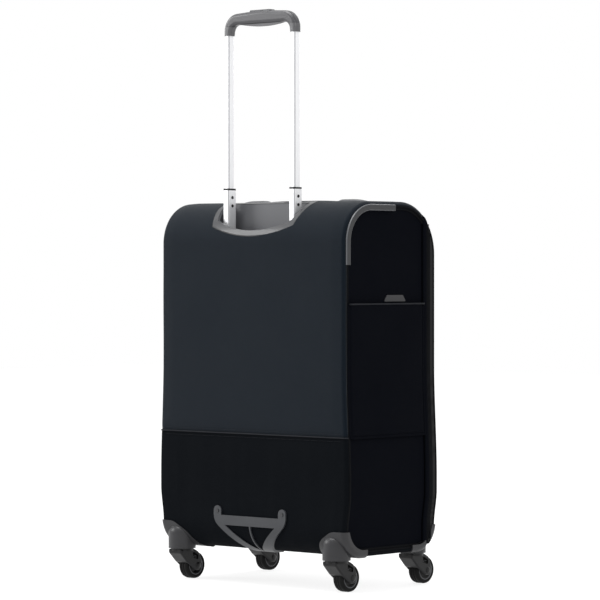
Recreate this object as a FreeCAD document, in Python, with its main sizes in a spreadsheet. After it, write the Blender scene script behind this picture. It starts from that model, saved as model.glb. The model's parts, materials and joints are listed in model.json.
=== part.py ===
import FreeCAD, Part
import math
import os
import re
from types import SimpleNamespace
from FreeCAD import Placement, Rotation, Vector

# Softside upright suitcase on four casters, handle drawn out.
# Millimetres, +Z up, wheels on Z = 0, handle side +Y, lid side -Y, lid hinge -X.

os.makedirs("parts", exist_ok=True)
doc = FreeCAD.newDocument("suitcase")

SIZES = {
    # case
    "case_width": 424, "rear_face": 128, "front_face": -115, "base_height": 60,
    "top_height": 660, "rear_top_radius": 70, "front_top_radius": 90, "foot_radius": 50,
    "skin": 2.5, "seam_plane": -93, "seam_gap": 0.6, "rim_depth": 11,
    "band_height": 262, "panel_inset": 4, "edge_radius": 7, "edge_return": 6,
    "panel_edge": 5, "piping_width": 5, "board": 3, "back_board_face": 80,
    # side pocket and tab
    "pocket_foot": 262, "pocket_mouth": 486, "pocket_gap": 4.5, "pocket_wall": 1.5,
    "pocket_gusset": 2, "tab_height": 11, "tab_foot_width": 58, "tab_top_width": 42,
    # moulded trim
    "bumper_width": 11, "bumper_thickness": 2.5, "bumper_foot": 552, "bumper_front": -4,
    "guard_thickness": 2.5, "guard_height": 104, "guard_inner": 138, "guard_strip": 12,
    "bracket_thickness": 3.5, "bracket_arm": 17, "bracket_screw_height": 127,
    # handle well
    "well_half_width": 94, "well_floor": 603, "well_front": 78, "well_wall": 2.5,
    "lip_width": 9, "lip_height": 1.6, "smile_low": 611.5, "smile_corner": 629,
    "smile_corner_half": 86, "smile_shoulder": 650,
    # telescopic handle
    "tube_spacing": 153.4, "tube_line": 98, "tube_wall": 0.8,
    "inner_tube_width": 10, "inner_tube_depth": 14, "middle_tube_width": 13,
    "middle_tube_depth": 20.5, "fixed_tube_width": 17, "fixed_tube_depth": 25,
    "fixed_tube_foot": 84, "tube_foot_height": 7, "fixed_tube_top": 600, "middle_tube_foot": 365,
    "middle_tube_top": 682, "inner_tube_foot": 640, "inner_tube_top": 965,
    "running_fit": 0.05, "bush_side_gap": 0.7, "bush_rim": 3, "rivet_radius": 2.7,
    "rivet_height": 0.5, "guide_height": 20,
    # grip
    "grip_foot": 950, "grip_top": 989, "grip_width": 168, "grip_depth": 17,
    "grip_bar": 21, "grip_arm": 14, "grip_root": 17, "grip_shoulder": 30, "grip_edge": 6,
    "parting_line": 965, "parting_depth": 0.5,
    "button_width": 48, "button_depth": 12, "button_foot": 982, "button_top": 991.6,
    "button_well": 976, "button_clearance": 0.3,
    # carry handles
    "strap_width": 30, "strap_thickness": 4, "strap_half_length": 82.5,
    "mount_inner": 84, "mount_outer": 152, "mount_width": 38, "mount_height": 6.5,
    "side_handle_height": 360, "carry_line": -13,
    # casters
    "swivel_inset": 32, "rear_swivel": 110, "front_swivel": -89, "trail": 25,
    "wheel_radius": 23.5, "wheel_width": 22, "axle_radius": 3, "pin_radius": 5,
    "fork_top": 54.5, "fork_plate": 4.3, "fork_radius": 20, "fork_arm": 3.5, "fork_edge": 3,
    "fork_side_gap": 1, "fork_wheel_gap": 1.7, "housing_radius": 24, "housing_foot": 55,
    "dome_top": 99, "dome_radius": 16,
    "puck_top": 66, "puck_gap": 1.6, "rear_pin_top": 75, "front_pin_top": 60.5,
    "pin_head_gap": 0.4,
    # lid pockets and zips
    "lower_pocket_foot": 128, "lower_pocket_top": 425, "lower_pocket_depth": 14,
    "upper_pocket_foot": 462, "upper_pocket_top": 572, "upper_pocket_depth": 9,
    "upper_pocket_half": 186, "zip_width": 8, "zip_thickness": 1.2,
    "slider_length": 13, "slider_width": 9, "slider_height": 5,
    "pull_gap": 0.6, "pull_length": 30, "pull_width": 9, "pull_thickness": 1.6,
    "upper_slider_height": 474, "lower_slider_height": 440,
}


def fill_sheet():
    sheet = doc.addObject("Spreadsheet::Sheet", "sizes")
    for row, (alias, value) in enumerate(SIZES.items(), start=1):
        sheet.set("A%d" % row, alias)
        sheet.set("B%d" % row, str(value))
        sheet.setAlias("B%d" % row, alias)
    doc.recompute()
    return sheet


sheet = fill_sheet()
S = SimpleNamespace(**SIZES)
HALF = S.case_width / 2
FAR = 400
parts = []


# ---------------------------------------------------------------- helpers

def bind(target, prop, expression):
    """Bind a property to an expression written in sheet names."""
    text = re.sub(r"[a-z_]{3,}", lambda word: "sizes." + word.group(), str(expression))
    target.setExpression(prop, text)


def rounded(corners):
    """Closed outline through corners (a, b, radius) as lines and tangent arcs."""
    points = [Vector(a, b, 0) for a, b, radius in corners]
    count = len(corners)
    ends = []
    edges = []
    for i, (a, b, radius) in enumerate(corners):
        corner = points[i]
        back = (points[i - 1] - corner).normalize()
        ahead = (points[(i + 1) % count] - corner).normalize()
        if radius <= 0:
            ends.append((corner, corner, None))
            continue
        half = back.getAngle(ahead) / 2
        reach = radius / math.tan(half)
        middle = corner + (back + ahead).normalize() * (radius / math.sin(half) - radius)
        ends.append((corner + back * reach, corner + ahead * reach, middle))
    for i in range(count):
        start, finish, middle = ends[i]
        if middle is not None:
            edges.append(Part.Arc(start, middle, finish))
        following = ends[(i + 1) % count][0]
        if (following - finish).Length > 1e-6:
            edges.append(Part.LineSegment(finish, following))
    return edges


def box_outline(a0, b0, a1, b1, radius=0):
    return rounded([(a0, b0, radius), (a1, b0, radius), (a1, b1, radius), (a0, b1, radius)])


def pad_body(label, role, outlines, length, start="0", symmetric=False):
    """Body padded from closed outlines on one of its origin planes."""
    body = doc.addObject("PartDesign::Body", label)
    sketch = body.newObject("Sketcher::SketchObject", label + "_sketch")
    plane = next(item for item in body.Origin.OriginFeatures if item.Role == role)
    sketch.AttachmentSupport = [(plane, "")]
    sketch.MapMode = "FlatFace"
    for outline in outlines:
        for edge in outline:
            sketch.addGeometry(edge)
    bind(sketch, "AttachmentOffset.Base.z", start)
    pad = body.newObject("PartDesign::Pad", label + "_pad")
    pad.Profile = sketch
    bind(pad, "Length", length)
    if symmetric:
        pad.SideType = "Symmetric"
    body.Tip = pad
    return body


def round_edges(body, radius, chosen):
    """Fillet the edges of a body's tip that the test picks."""
    doc.recompute()
    tip = body.Tip
    names = ["Edge%d" % (i + 1) for i, edge in enumerate(tip.Shape.Edges) if chosen(edge)]
    fillet = body.newObject("PartDesign::Fillet", body.Name + "_fillet")
    fillet.Base = (tip, names)
    bind(fillet, "Radius", radius)
    body.Tip = fillet
    return body


def at_plane(axis, *values):
    """Test for edges that lie wholly in a plane across the given axis."""
    def test(edge):
        low = getattr(edge.BoundBox, axis + "Min")
        high = getattr(edge.BoundBox, axis + "Max")
        return any(abs(low - v) < 0.01 and abs(high - v) < 0.01 for v in values)
    return test


def block(label, x, y, z):
    """Box from three pairs of expressions, low and high."""
    box = doc.addObject("Part::Box", label)
    for (low, high), side, base in zip((x, y, z), ("Length", "Width", "Height"), "xyz"):
        bind(box, side, "(%s) - (%s)" % (high, low))
        bind(box, "Placement.Base." + base, low)
    return box


def rod(label, axis, radius, centre, low, high):
    """Cylinder along an axis; centre gives the other two coordinates in order."""
    cylinder = doc.addObject("Part::Cylinder", label)
    turns = {"x": Rotation(Vector(0, 1, 0), 90), "y": Rotation(Vector(1, 0, 0), -90), "z": Rotation()}
    cylinder.Placement = Placement(Vector(), turns[axis])
    bind(cylinder, "Radius", radius)
    bind(cylinder, "Height", "(%s) - (%s)" % (high, low))
    bind(cylinder, "Placement.Base." + axis, low)
    for name, value in zip([a for a in "xyz" if a != axis], centre):
        bind(cylinder, "Placement.Base." + name, value)
    return cylinder


def join(label, *pieces):
    fuse = doc.addObject("Part::MultiFuse", label)
    fuse.Refine = False
    fuse.Shapes = list(pieces)
    return fuse


def cut(label, base, *tools):
    result = doc.addObject("Part::Cut", label)
    result.Base = base
    result.Tool = tools[0] if len(tools) == 1 else join(label + "_tools", *tools)
    return result


def common(label, base, tool):
    result = doc.addObject("Part::Common", label)
    result.Base = base
    result.Tool = tool
    return result


def group(label, *pieces):
    """Separate identical pieces kept together as one node."""
    compound = doc.addObject("Part::Compound", label)
    compound.Links = list(pieces)
    return compound


def keep(node):
    """Register a finished node; its Label names its file."""
    parts.append(node)
    return node


# ------------------------------------------------------- the case's outline

def outline(grow=0.0):
    """Side view of the packed case, grown outwards by a distance."""
    rear, front = S.rear_face + grow, S.front_face - grow
    top, base = S.top_height + grow, S.base_height - grow
    return rounded([
        (rear, base, S.foot_radius + grow), (rear, top, S.rear_top_radius + grow),
        (front, top, S.front_top_radius + grow), (front, base, S.foot_radius + grow)])


def form(label, grow, half_width):
    """Solid of the whole case outline, its ends at plus and minus half_width."""
    return pad_body(label, "YZ_Plane", [outline(grow)], "2 * (%s)" % half_width, symmetric=True)


def soft_form(label, grow=0):
    """The case outline as a solid with rounded side edges, grown all round."""
    body = form(label, grow, "case_width / 2 + (%s)" % grow)
    return round_edges(body, "edge_radius + (%s)" % grow, at_plane("X", HALF + grow, -HALF - grow))


def layer(label, thickness):
    """Shell laid on the outside of the whole case."""
    return cut(label, soft_form(label + "_outer", thickness), soft_form(label + "_inner"))


def behind_rim(label):
    return block(label, (-FAR, FAR), ("seam_plane + rim_depth", FAR), (0, "2 * top_height"))


# ---------------------------------------------------------------- case shell

def well_block(label):
    return block(label, ("-well_half_width - well_wall", "well_half_width + well_wall"),
                 ("well_front - well_wall", FAR), ("well_floor - well_wall", "2 * top_height"))


def wrap_ring(label):
    """Sheet round the whole case that turns in over the side edges."""
    shell = cut(label + "_shell", soft_form(label + "_outer"), soft_form(label + "_inner", -S.skin))
    return cut(label, shell, form(label + "_core", -S.edge_return, "case_width"))


def upper_wrap():
    """Back and top in one sheet, open where the handle well sits."""
    ring = common("upper_ring", wrap_ring("upper_wrap_ring"), behind_rim("upper_side"))
    below = block("band_below", (-FAR, FAR), (-FAR, FAR), (0, "band_height"))
    return keep(cut("upper_wrap", ring, below, well_block("upper_well")))


def lower_wrap():
    """Lower back band and bottom, pierced by the rear caster housings."""
    ring = common("lower_ring", wrap_ring("lower_wrap_ring"), behind_rim("lower_side"))
    above = block("band_above", (-FAR, FAR), (-FAR, FAR), ("band_height", "2 * top_height"))
    holes = [rod("dome_hole_%s" % side, "z", "housing_radius + button_clearance",
                 ("%d * (case_width / 2 - swivel_inset)" % sign, "rear_swivel"), 0, "dome_top + 5")
             for side, sign in (("left", 1), ("right", -1))]
    return keep(cut("lower_wrap", ring, above, *holes))


def side_panel(side, sign):
    label = "side_panel_" + side
    start = "case_width / 2 - panel_inset - skin"
    if sign < 0:
        start = "-case_width / 2 + panel_inset"
    plate = pad_body(label + "_plate", "YZ_Plane", [outline(-S.panel_edge)], "skin", start)
    return keep(common(label, plate, behind_rim(label + "_side")))


def edge_piping():
    """Raised piping round each side panel, beside the turned-in sheet."""
    runs = []
    for side, start, face in (("left", "case_width / 2 - panel_inset", HALF),
                              ("right", "-case_width / 2", -HALF)):
        body = pad_body("piping_" + side, "YZ_Plane",
                        [outline(-S.edge_return), outline(-S.edge_return - S.piping_width)],
                        "panel_inset", start)
        round_edges(body, "1.8", at_plane("X", face))
        runs.append(common("piping_run_" + side, body, behind_rim("piping_side_" + side)))
    return keep(group("edge_piping", *runs))


def front_rim():
    """Stiff band round the mouth that carries the zip."""
    outer = soft_form("rim_outer")
    inner_half = HALF - S.panel_inset - S.skin
    inner = round_edges(form("rim_inner", -S.skin, "case_width / 2 - panel_inset - skin"),
                        "edge_radius - 4", at_plane("X", inner_half, -inner_half))
    ring = cut("rim_ring", outer, inner)
    span = block("rim_span", (-FAR, FAR), ("seam_plane + seam_gap / 2", "seam_plane + rim_depth"),
                 (0, "2 * top_height"))
    return keep(common("front_rim", ring, span))


def zip_tape(label, low, high):
    """Zip tape laid over the top, the free side and the bottom beside the seam."""
    shell = layer(label + "_layer", S.zip_thickness)
    span = block(label + "_span", ("-case_width / 2 + 12", FAR), (low, high), (0, "2 * top_height"))
    return keep(common(label, shell, span))


def side_pocket():
    """Flat pocket on the hinge side, open along its top edge."""
    outer = block("pocket_outer", ("-case_width / 2 + panel_inset - pocket_gap - pocket_wall",
                                   "-case_width / 2 + panel_inset"),
                  ("seam_plane + rim_depth + 2", "rear_face - edge_return - piping_width - 1"),
                  ("pocket_foot", "pocket_mouth"))
    inner = block("pocket_inner", ("-case_width / 2 + panel_inset - pocket_gap",
                                   "-case_width / 2 + panel_inset + 1"),
                  ("seam_plane + rim_depth + 2 + pocket_gusset",
                   "rear_face - edge_return - piping_width - 1 - pocket_gusset"),
                  ("pocket_foot + pocket_gusset", "pocket_mouth + 1"))
    return keep(cut("side_pocket", outer, inner))


def side_pocket_tab():
    foot = S.pocket_mouth + 4
    middle = -8
    corners = [(middle - S.tab_foot_width / 2, foot, 1.5), (middle + S.tab_foot_width / 2, foot, 1.5),
               (middle + S.tab_top_width / 2, foot + S.tab_height, 1.5),
               (middle - S.tab_top_width / 2, foot + S.tab_height, 1.5)]
    return keep(pad_body("side_pocket_tab", "YZ_Plane", [rounded(corners)], "1.4",
                         "-case_width / 2 + panel_inset - 1.4"))


def inner_width():
    return "-case_width / 2 + edge_radius + 1", "case_width / 2 - edge_radius - 1"


def back_board():
    """Stiff board between the packing space and the handle tubes."""
    return keep(block("back_board", inner_width(), ("back_board_face", "back_board_face + board"),
                      ("base_height + skin + 0.5", "well_floor - well_wall")))


def base_board():
    return keep(block("base_board", inner_width(),
                      ("front_face + foot_radius + 1", "rear_face - foot_radius"),
                      ("base_height + skin", "base_height + skin + board")))


# ------------------------------------------------------------- moulded trim

def corner_bumpers():
    """Slim moulded guards over the piping of the two upper rear corners."""
    rear_of_piping = -S.edge_return - S.piping_width
    strips = []
    for side, start in (("left", "case_width / 2 - panel_inset"),
                        ("right", "-case_width / 2 - bumper_thickness")):
        bar = pad_body("bumper_bar_" + side, "YZ_Plane",
                       [outline(1 - S.edge_return), outline(1 - S.edge_return - S.bumper_width)],
                       "bumper_thickness + panel_inset", start)
        face = HALF + S.bumper_thickness if side == "left" else -HALF - S.bumper_thickness
        round_edges(bar, "bumper_thickness", at_plane("X", face))
        seat = cut("bumper_seat_" + side,
                   form("bumper_over_" + side, 5, "case_width / 2"),
                   form("bumper_under_" + side, rear_of_piping, "case_width"))
        span = block("bumper_span_" + side, (-FAR, FAR), ("bumper_front", FAR),
                     ("bumper_foot", "2 * top_height"))
        strips.append(common("bumper_" + side, cut("bumper_fitted_" + side, bar, seat), span))
    return keep(group("corner_bumpers", *strips))


def corner_guard(label, sign, low, high):
    """Thin guard round a lower corner: a wedge underneath and a strip up the side."""
    shell = layer(label + "_layer", S.guard_thickness)
    core = form(label + "_core", -S.guard_strip, "case_width")
    corners = [(sign * S.guard_inner, 40, 0), (sign * 260, 40, 0),
               (sign * 260, S.guard_height, 0), (sign * 184, S.guard_height, 30),
               (sign * 154, 86, 40), (sign * S.guard_inner, S.base_height - 4, 0)]
    wedge = pad_body(label + "_wedge", "XZ_Plane", [rounded(corners)], "(%s) - (%s)" % (high, low),
                     "-(%s)" % high)
    return common(label, cut(label + "_ring", shell, core), wedge)


def swivel_x(sign):
    return "%d * (case_width / 2 - swivel_inset)" % sign


def domed_barrel(label, sign):
    """Barrel with a rounded crown, turned about the swivel axis."""
    radius, crown, top = S.housing_radius, S.dome_radius, S.dome_top
    profile = rounded([(0, S.housing_foot, 0), (radius, S.housing_foot, 0),
                       (radius, top - 3, crown), (0, top, 0)])
    body = doc.addObject("PartDesign::Body", label)
    sketch = body.newObject("Sketcher::SketchObject", label + "_sketch")
    plane = next(item for item in body.Origin.OriginFeatures if item.Role == "XZ_Plane")
    sketch.AttachmentSupport = [(plane, "")]
    sketch.MapMode = "FlatFace"
    for edge in profile:
        sketch.addGeometry(edge)
    turned = body.newObject("PartDesign::Revolution", label + "_turned")
    turned.Profile = sketch
    turned.ReferenceAxis = (sketch, ["V_Axis"])
    turned.Angle = 360
    body.Tip = turned
    bind(body, "Placement.Base.x", swivel_x(sign))
    bind(body, "Placement.Base.y", "rear_swivel")
    return body


def pin_top(swivel):
    return swivel.split("_")[0] + "_pin_top"


def housing(label, sign, swivel, low, high):
    """Caster socket with its corner guard, bored for the swivel pin."""
    x = swivel_x(sign)
    if swivel == "front_swivel":
        barrel = rod(label + "_barrel", "z", "housing_radius", (x, swivel), "housing_foot", "puck_top")
        barrel = cut(label + "_puck", barrel, form(label + "_space", S.puck_gap, "case_width / 2"))
    else:
        barrel = domed_barrel(label + "_barrel", sign)
    guard = corner_guard(label + "_guard", sign, low, high)
    bore = rod(label + "_bore", "z", "pin_radius + running_fit", (x, swivel), 0,
               pin_top(swivel) + " + pin_head_gap")
    body = join(label + "_body", barrel, guard)
    return keep(cut(label, body, bore))


def rear_bracket():
    """Moulded bracket with two screw arms, a crossbar and a centre rib."""
    shell = cut("bracket_layer", form("bracket_outer", S.bracket_thickness, "case_width / 2"),
                form("bracket_inner", 0, "case_width / 2 + 5"))
    arm = S.tube_spacing / 2 - 1.7
    half = S.bracket_arm / 2
    pieces = []
    for sign in (1, -1):
        corners = [(sign * (arm - half), 136, half * 0.98), (sign * (arm + half), 136, half * 0.98),
                   (sign * (arm + half), 110, 26), (sign * 18, 53, 0), (sign * 18, 40, 0),
                   (sign * -1, 40, 0), (sign * -1, 57, 0), (sign * (arm - half), 110, 26)]
        pieces.append(pad_body("bracket_arm_%d" % (sign + 1), "XZ_Plane", [rounded(corners)],
                               "70", "-(rear_face + 10)"))
    pieces.append(block("bracket_bar", (-arm, arm), (70, FAR), (103, 120)))
    pieces.append(block("bracket_rib", (-1.5, 1.5), (70, FAR), (40, 110)))
    return keep(common("rear_bracket", shell, join("bracket_mask", *pieces)))


def bracket_screws():
    arm = S.tube_spacing / 2 - 1.7
    screws = [rod("bracket_screw_%d" % (sign + 1), "y", "3.2", (sign * arm, "bracket_screw_height"),
                  "rear_face + bracket_thickness", "rear_face + bracket_thickness + 1.2")
              for sign in (1, -1)]
    return keep(group("bracket_screws", *screws))


def housing_screws():
    screws = []
    for sign in (1, -1):
        for line in (72, -57):
            screws.append(rod("housing_screw_%d" % len(screws), "z", "2.8", (sign * 142, line),
                              "base_height - guard_thickness - 1", "base_height - guard_thickness"))
    return keep(group("housing_screws", *screws))


def handle_bezel():
    """Moulded well that takes the stowed grip, with a smile-shaped lip."""

    def smile(label, grow):
        """Opening seen from behind: a shallow curve below, steep shoulders above."""
        side = S.well_half_width + grow
        corner = S.smile_corner_half + grow * 0.8
        low = S.smile_low - grow
        start = Vector(-corner, S.smile_corner - grow, 0)
        finish = Vector(corner, S.smile_corner - grow, 0)
        arc = Part.Arc(start, Vector(0, low, 0), finish)
        corners = [finish, Vector(side, S.smile_shoulder, 0), Vector(side, 760, 0),
                   Vector(-side, 760, 0), Vector(-side, S.smile_shoulder, 0), start]
        sides = [Part.LineSegment(first, second) for first, second in zip(corners, corners[1:])]
        return pad_body(label, "XZ_Plane", [[arc] + sides], "rear_face + 60 - well_front + %s" % grow,
                        "-(rear_face + 60)")

    shell = common("well_shell", form("well_form", 0, "case_width / 2"), well_block("well_outer"))
    space = common("well_space", form("well_inner_form", -S.well_wall, "case_width / 2"),
                   block("well_inner", ("-well_half_width", "well_half_width"),
                         ("well_front", FAR), ("well_floor", "2 * top_height")))
    lip = cut("lip_layer", form("lip_outer", S.lip_height, "case_width / 2"),
              form("lip_inner", 0, "case_width / 2 + 5"))
    lip = common("lip", lip, smile("lip_mask", S.lip_width))
    holes = [block("bush_hole_%d" % (sign + 1),
                   ("%d * tube_spacing / 2 - fixed_tube_width / 2" % sign,
                    "%d * tube_spacing / 2 + fixed_tube_width / 2" % sign),
                   ("tube_line - fixed_tube_depth / 2", "tube_line + fixed_tube_depth / 2"),
                   ("well_floor - 10", "well_floor + 1")) for sign in (1, -1)]
    return keep(cut("handle_bezel", join("well_body", shell, lip), space, smile("smile_opening", 0), *holes))


# --------------------------------------------------------- telescopic handle

def flat_outline(sign, width, depth, radius):
    middle = sign * S.tube_spacing / 2
    return box_outline(middle - width / 2, S.tube_line - depth / 2,
                       middle + width / 2, S.tube_line + depth / 2, radius)


def pair(label, width, depth, radius, hole, length, start):
    """Two matching tubes or bushes, one on each side of the centre."""
    pieces = []
    for side, sign in (("left", 1), ("right", -1)):
        outlines = [flat_outline(sign, width, depth, radius)]
        if hole is not None:
            outlines.append(flat_outline(sign, *hole))
        pieces.append(pad_body(label + "_" + side, "XY_Plane", outlines, length, start))
    return keep(group(label, *pieces))


def handle_tubes():
    wall = 2 * S.tube_wall
    fit = 2 * S.running_fit
    pair("fixed_tubes", S.fixed_tube_width, S.fixed_tube_depth, 3.6,
         (S.fixed_tube_width - wall, S.fixed_tube_depth - wall, 2.8),
         "fixed_tube_top - fixed_tube_foot", "fixed_tube_foot")
    pair("tube_bushes", S.fixed_tube_width, S.fixed_tube_depth, 3.6,
         (S.middle_tube_width + 2 * S.bush_side_gap, S.middle_tube_depth + fit, 2.65),
         "bush_rim + 1", "fixed_tube_top")
    pair("middle_tubes", S.middle_tube_width, S.middle_tube_depth, 2.6,
         (S.middle_tube_width - wall, S.middle_tube_depth - wall, 1.8),
         "middle_tube_top - middle_tube_foot", "middle_tube_foot")
    pair("middle_bushes", S.middle_tube_width, S.middle_tube_depth, 2.6,
         (S.inner_tube_width + fit, S.inner_tube_depth + fit, 3.05),
         "bush_rim", "middle_tube_top")
    pair("inner_tubes", S.inner_tube_width, S.inner_tube_depth, 3,
         (S.inner_tube_width - wall, S.inner_tube_depth - wall, 2.2),
         "inner_tube_top - inner_tube_foot", "inner_tube_foot")
    pair("guide_blocks", S.middle_tube_width - wall - fit, S.middle_tube_depth - wall - fit, 1.8,
         None, "guide_height", "inner_tube_foot - guide_height")
    pair("tube_feet", 22, 27, 3, None, "tube_foot_height", "fixed_tube_foot - tube_foot_height")


def tube_rivets():
    """Two rivets on each narrow face of the middle tubes."""
    rivets = []
    for tube in (1, -1):
        for outward in (1, -1):
            face = "%d * tube_spacing / 2 + %d * middle_tube_width / 2" % (tube, outward)
            ends = (face, face + " + rivet_height") if outward > 0 else (face + " - rivet_height", face)
            for drop in (12.5, 27):
                rivets.append(rod("rivet_%d" % len(rivets), "x", "rivet_radius",
                                  ("tube_line", "middle_tube_top - %s" % drop), *ends))
    return keep(group("tube_rivets", *rivets))


def grip_shell():
    """U-shaped grip with flat-footed sockets, a parting line and a well for the button."""
    body = grip_blank("grip_blank", 0)
    feet = block("grip_feet", (-FAR, FAR), (-FAR, FAR), (0, "grip_foot"))
    groove = cut("grip_groove", block("grip_slice", (-FAR, FAR), (-FAR, FAR),
                                      ("parting_line", "parting_line + 0.8")),
                 grip_blank("grip_core", S.parting_depth))
    sockets = pair_tool("grip_sockets")
    well = block("button_well", ("-button_width / 2 - button_clearance",
                                 "button_width / 2 + button_clearance"),
                 ("tube_line - button_depth / 2 - button_clearance",
                  "tube_line + button_depth / 2 + button_clearance"),
                 ("button_well", "2 * grip_top"))
    return keep(cut("grip_shell", body, feet, groove, sockets, well))


def grip_blank(label, inset):
    """Rounded U of the grip, drawn smaller all round by an inset."""
    half = S.grip_width / 2 - inset
    inner = S.grip_width / 2 - S.grip_arm + inset
    root = S.grip_width / 2 - S.grip_root + inset
    under = S.grip_top - S.grip_bar + inset
    top = S.grip_top - inset
    foot = S.grip_foot - 12
    corners = [(-half, foot, 0), (-inner, foot, 0), (-root, under, 14),
               (root, under, 14), (inner, foot, 0), (half, foot, 0),
               (half, top - 3, S.grip_shoulder - inset), (0, top + 2, 300),
               (-half, top - 3, S.grip_shoulder - inset)]
    depth = S.grip_depth / 2 - inset
    body = pad_body(label, "XZ_Plane", [rounded(corners)], "%s" % (2 * depth),
                    "-(tube_line + %s)" % depth)
    faces = at_plane("Y", S.tube_line - depth, S.tube_line + depth)
    return round_edges(body, "grip_edge - %s" % inset, faces)


def pair_tool(label):
    bodies = []
    for side, sign in (("left", 1), ("right", -1)):
        outlines = [flat_outline(sign, S.inner_tube_width, S.inner_tube_depth, 3)]
        bodies.append(pad_body(label + "_" + side, "XY_Plane", outlines,
                               "inner_tube_top - grip_foot + 10", "grip_foot - 10"))
    return join(label, *bodies)


def grip_insert():
    """Lens-shaped pad under the bar."""
    under = S.grip_top - S.grip_bar
    arc = Part.Arc(Vector(-48, under, 0), Vector(0, under - 4.5, 0), Vector(48, under, 0))
    top = Part.LineSegment(Vector(48, under, 0), Vector(-48, under, 0))
    return keep(pad_body("grip_insert", "XZ_Plane", [[arc, top]], "10", "-(tube_line + 5)"))


def release_button():
    corners = [(-S.button_width / 2, S.button_foot, 0), (S.button_width / 2, S.button_foot, 0),
               (S.button_width / 2, S.button_top, 2.5), (-S.button_width / 2, S.button_top, 2.5)]
    return keep(pad_body("release_button", "XZ_Plane", [rounded(corners)], "button_depth",
                         "-(tube_line + button_depth / 2)"))


def button_spring():
    return keep(rod("button_spring", "z", "3.5", ("0", "tube_line"), "button_well + 0.1",
                    "button_foot - 0.1"))


# -------------------------------------------------------------- carry handles

def top_handle_mounts():
    mounts = []
    for side, low, high in (("left", "mount_inner", "mount_outer"),
                            ("right", "-mount_outer", "-mount_inner")):
        mount = block("top_mount_" + side, (low, high),
                      ("carry_line - mount_width / 2", "carry_line + mount_width / 2"),
                      ("top_height", "top_height + mount_height"))
        mounts.append(soften("top_mount_soft_" + side, mount, 3))
    return keep(group("top_handle_mounts", *mounts))


def soften(label, solid, radius):
    """Fillet every edge of a block except those on the face it stands on."""
    doc.recompute()
    fillet = doc.addObject("Part::Fillet", label)
    fillet.Base = solid
    fillet.Edges = [(i + 1, radius, radius) for i, edge in enumerate(solid.Shape.Edges)
                    if off_standing_face(edge, solid)]
    return fillet


def off_standing_face(edge, solid):
    box = solid.Shape.BoundBox
    if box.ZLength < box.XLength:
        return edge.BoundBox.ZMax > box.ZMin + 0.01
    return edge.BoundBox.XMax > box.XMin + 0.01


def top_handle():
    strap = block("top_strap", ("-strap_half_length", "strap_half_length"),
                  ("carry_line - strap_width / 2", "carry_line + strap_width / 2"),
                  ("top_height + 0.4", "top_height + 0.4 + strap_thickness"))
    return keep(soften("top_handle", strap, 1.5))


def side_handle_mounts():
    face = "case_width / 2 - panel_inset"
    mounts = []
    for side, low, high in (("upper", "mount_inner", "mount_outer"),
                            ("lower", "-mount_outer", "-mount_inner")):
        mount = block("side_mount_" + side, (face, face + " + mount_height + 2"),
                      ("carry_line - mount_width / 2", "carry_line + mount_width / 2"),
                      ("side_handle_height + (%s)" % low, "side_handle_height + (%s)" % high))
        mounts.append(soften("side_mount_soft_" + side, mount, 3))
    return keep(group("side_handle_mounts", *mounts))


def side_handle():
    face = "case_width / 2 - panel_inset + 0.4"
    strap = block("side_strap", (face, face + " + strap_thickness"),
                  ("carry_line - strap_width / 2", "carry_line + strap_width / 2"),
                  ("side_handle_height - strap_half_length", "side_handle_height + strap_half_length"))
    return keep(soften("side_handle", strap, 1.5))


# ------------------------------------------------------------------- casters

def fork(label, sign, swivel):
    """Swivel fork: plate, pin, hood with two pierced cheeks and the riveted axle."""
    x = swivel_x(sign)
    line = getattr(S, swivel)
    reach = "(wheel_width / 2 + fork_side_gap + fork_arm)"
    cheek = rounded([(line + 19, S.fork_top - 1, 0), (line + 19, 47, 5), (line + 3, 31, 12),
                     (line - 19, 14.5, 6), (line - 34, 14.5, 8), (line - 35, 32, 8),
                     (line - 28, 47, 10), (line - 15, S.fork_top - 1, 0)])
    opening = rounded([(line - 11, 49, 2), (line - 25, 42, 2), (line - 25, 33.5, 2), (line - 12, 37, 2)])
    hood, window = [pad_body(label + suffix, "YZ_Plane", [edge], "2 * " + reach, "%s - %s" % (x, reach))
                    for suffix, edge in (("_hood", cheek), ("_window", opening))]
    round_edges(hood, "fork_edge", at_plane("X", *cheek_faces(sign)))
    slot = rod(label + "_slot", "x", "wheel_radius + fork_wheel_gap", (swivel + " - trail", "wheel_radius"),
               "%s - wheel_width / 2 - fork_side_gap" % x, "%s + wheel_width / 2 + fork_side_gap" % x)
    pieces = [cut(label + "_cheeks", hood, slot, window),
              rod(label + "_plate", "z", "fork_radius", (x, swivel), "fork_top - fork_plate", "fork_top"),
              rod(label + "_pin", "z", "pin_radius", (x, swivel), "fork_top - 1", pin_top(swivel)),
              rod(label + "_axle", "x", "axle_radius", (swivel + " - trail", "wheel_radius"),
                  "%s - %s - 1" % (x, reach), "%s + %s + 1" % (x, reach))]
    return keep(join(label, *pieces))


def cheek_faces(sign):
    middle = sign * (HALF - S.swivel_inset)
    reach = S.wheel_width / 2 + S.fork_side_gap + S.fork_arm
    return middle - reach, middle + reach


def wheel(label, sign, swivel):
    x = swivel_x(sign)
    centre = (swivel + " - trail", "wheel_radius")
    low, high = x + " - wheel_width / 2", x + " + wheel_width / 2"
    tyre = rod(label + "_tyre", "x", "wheel_radius", centre, low, high)
    doc.recompute()
    rounded_tyre = doc.addObject("Part::Fillet", label + "_rounded")
    rounded_tyre.Base = tyre
    rims = [i + 1 for i, edge in enumerate(tyre.Shape.Edges) if edge.Closed]
    rounded_tyre.Edges = [(i, 4, 4) for i in rims]
    bore = rod(label + "_bore", "x", "axle_radius + running_fit", centre, low + " - 1", high + " + 1")
    return keep(cut(label, rounded_tyre, bore))


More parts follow.
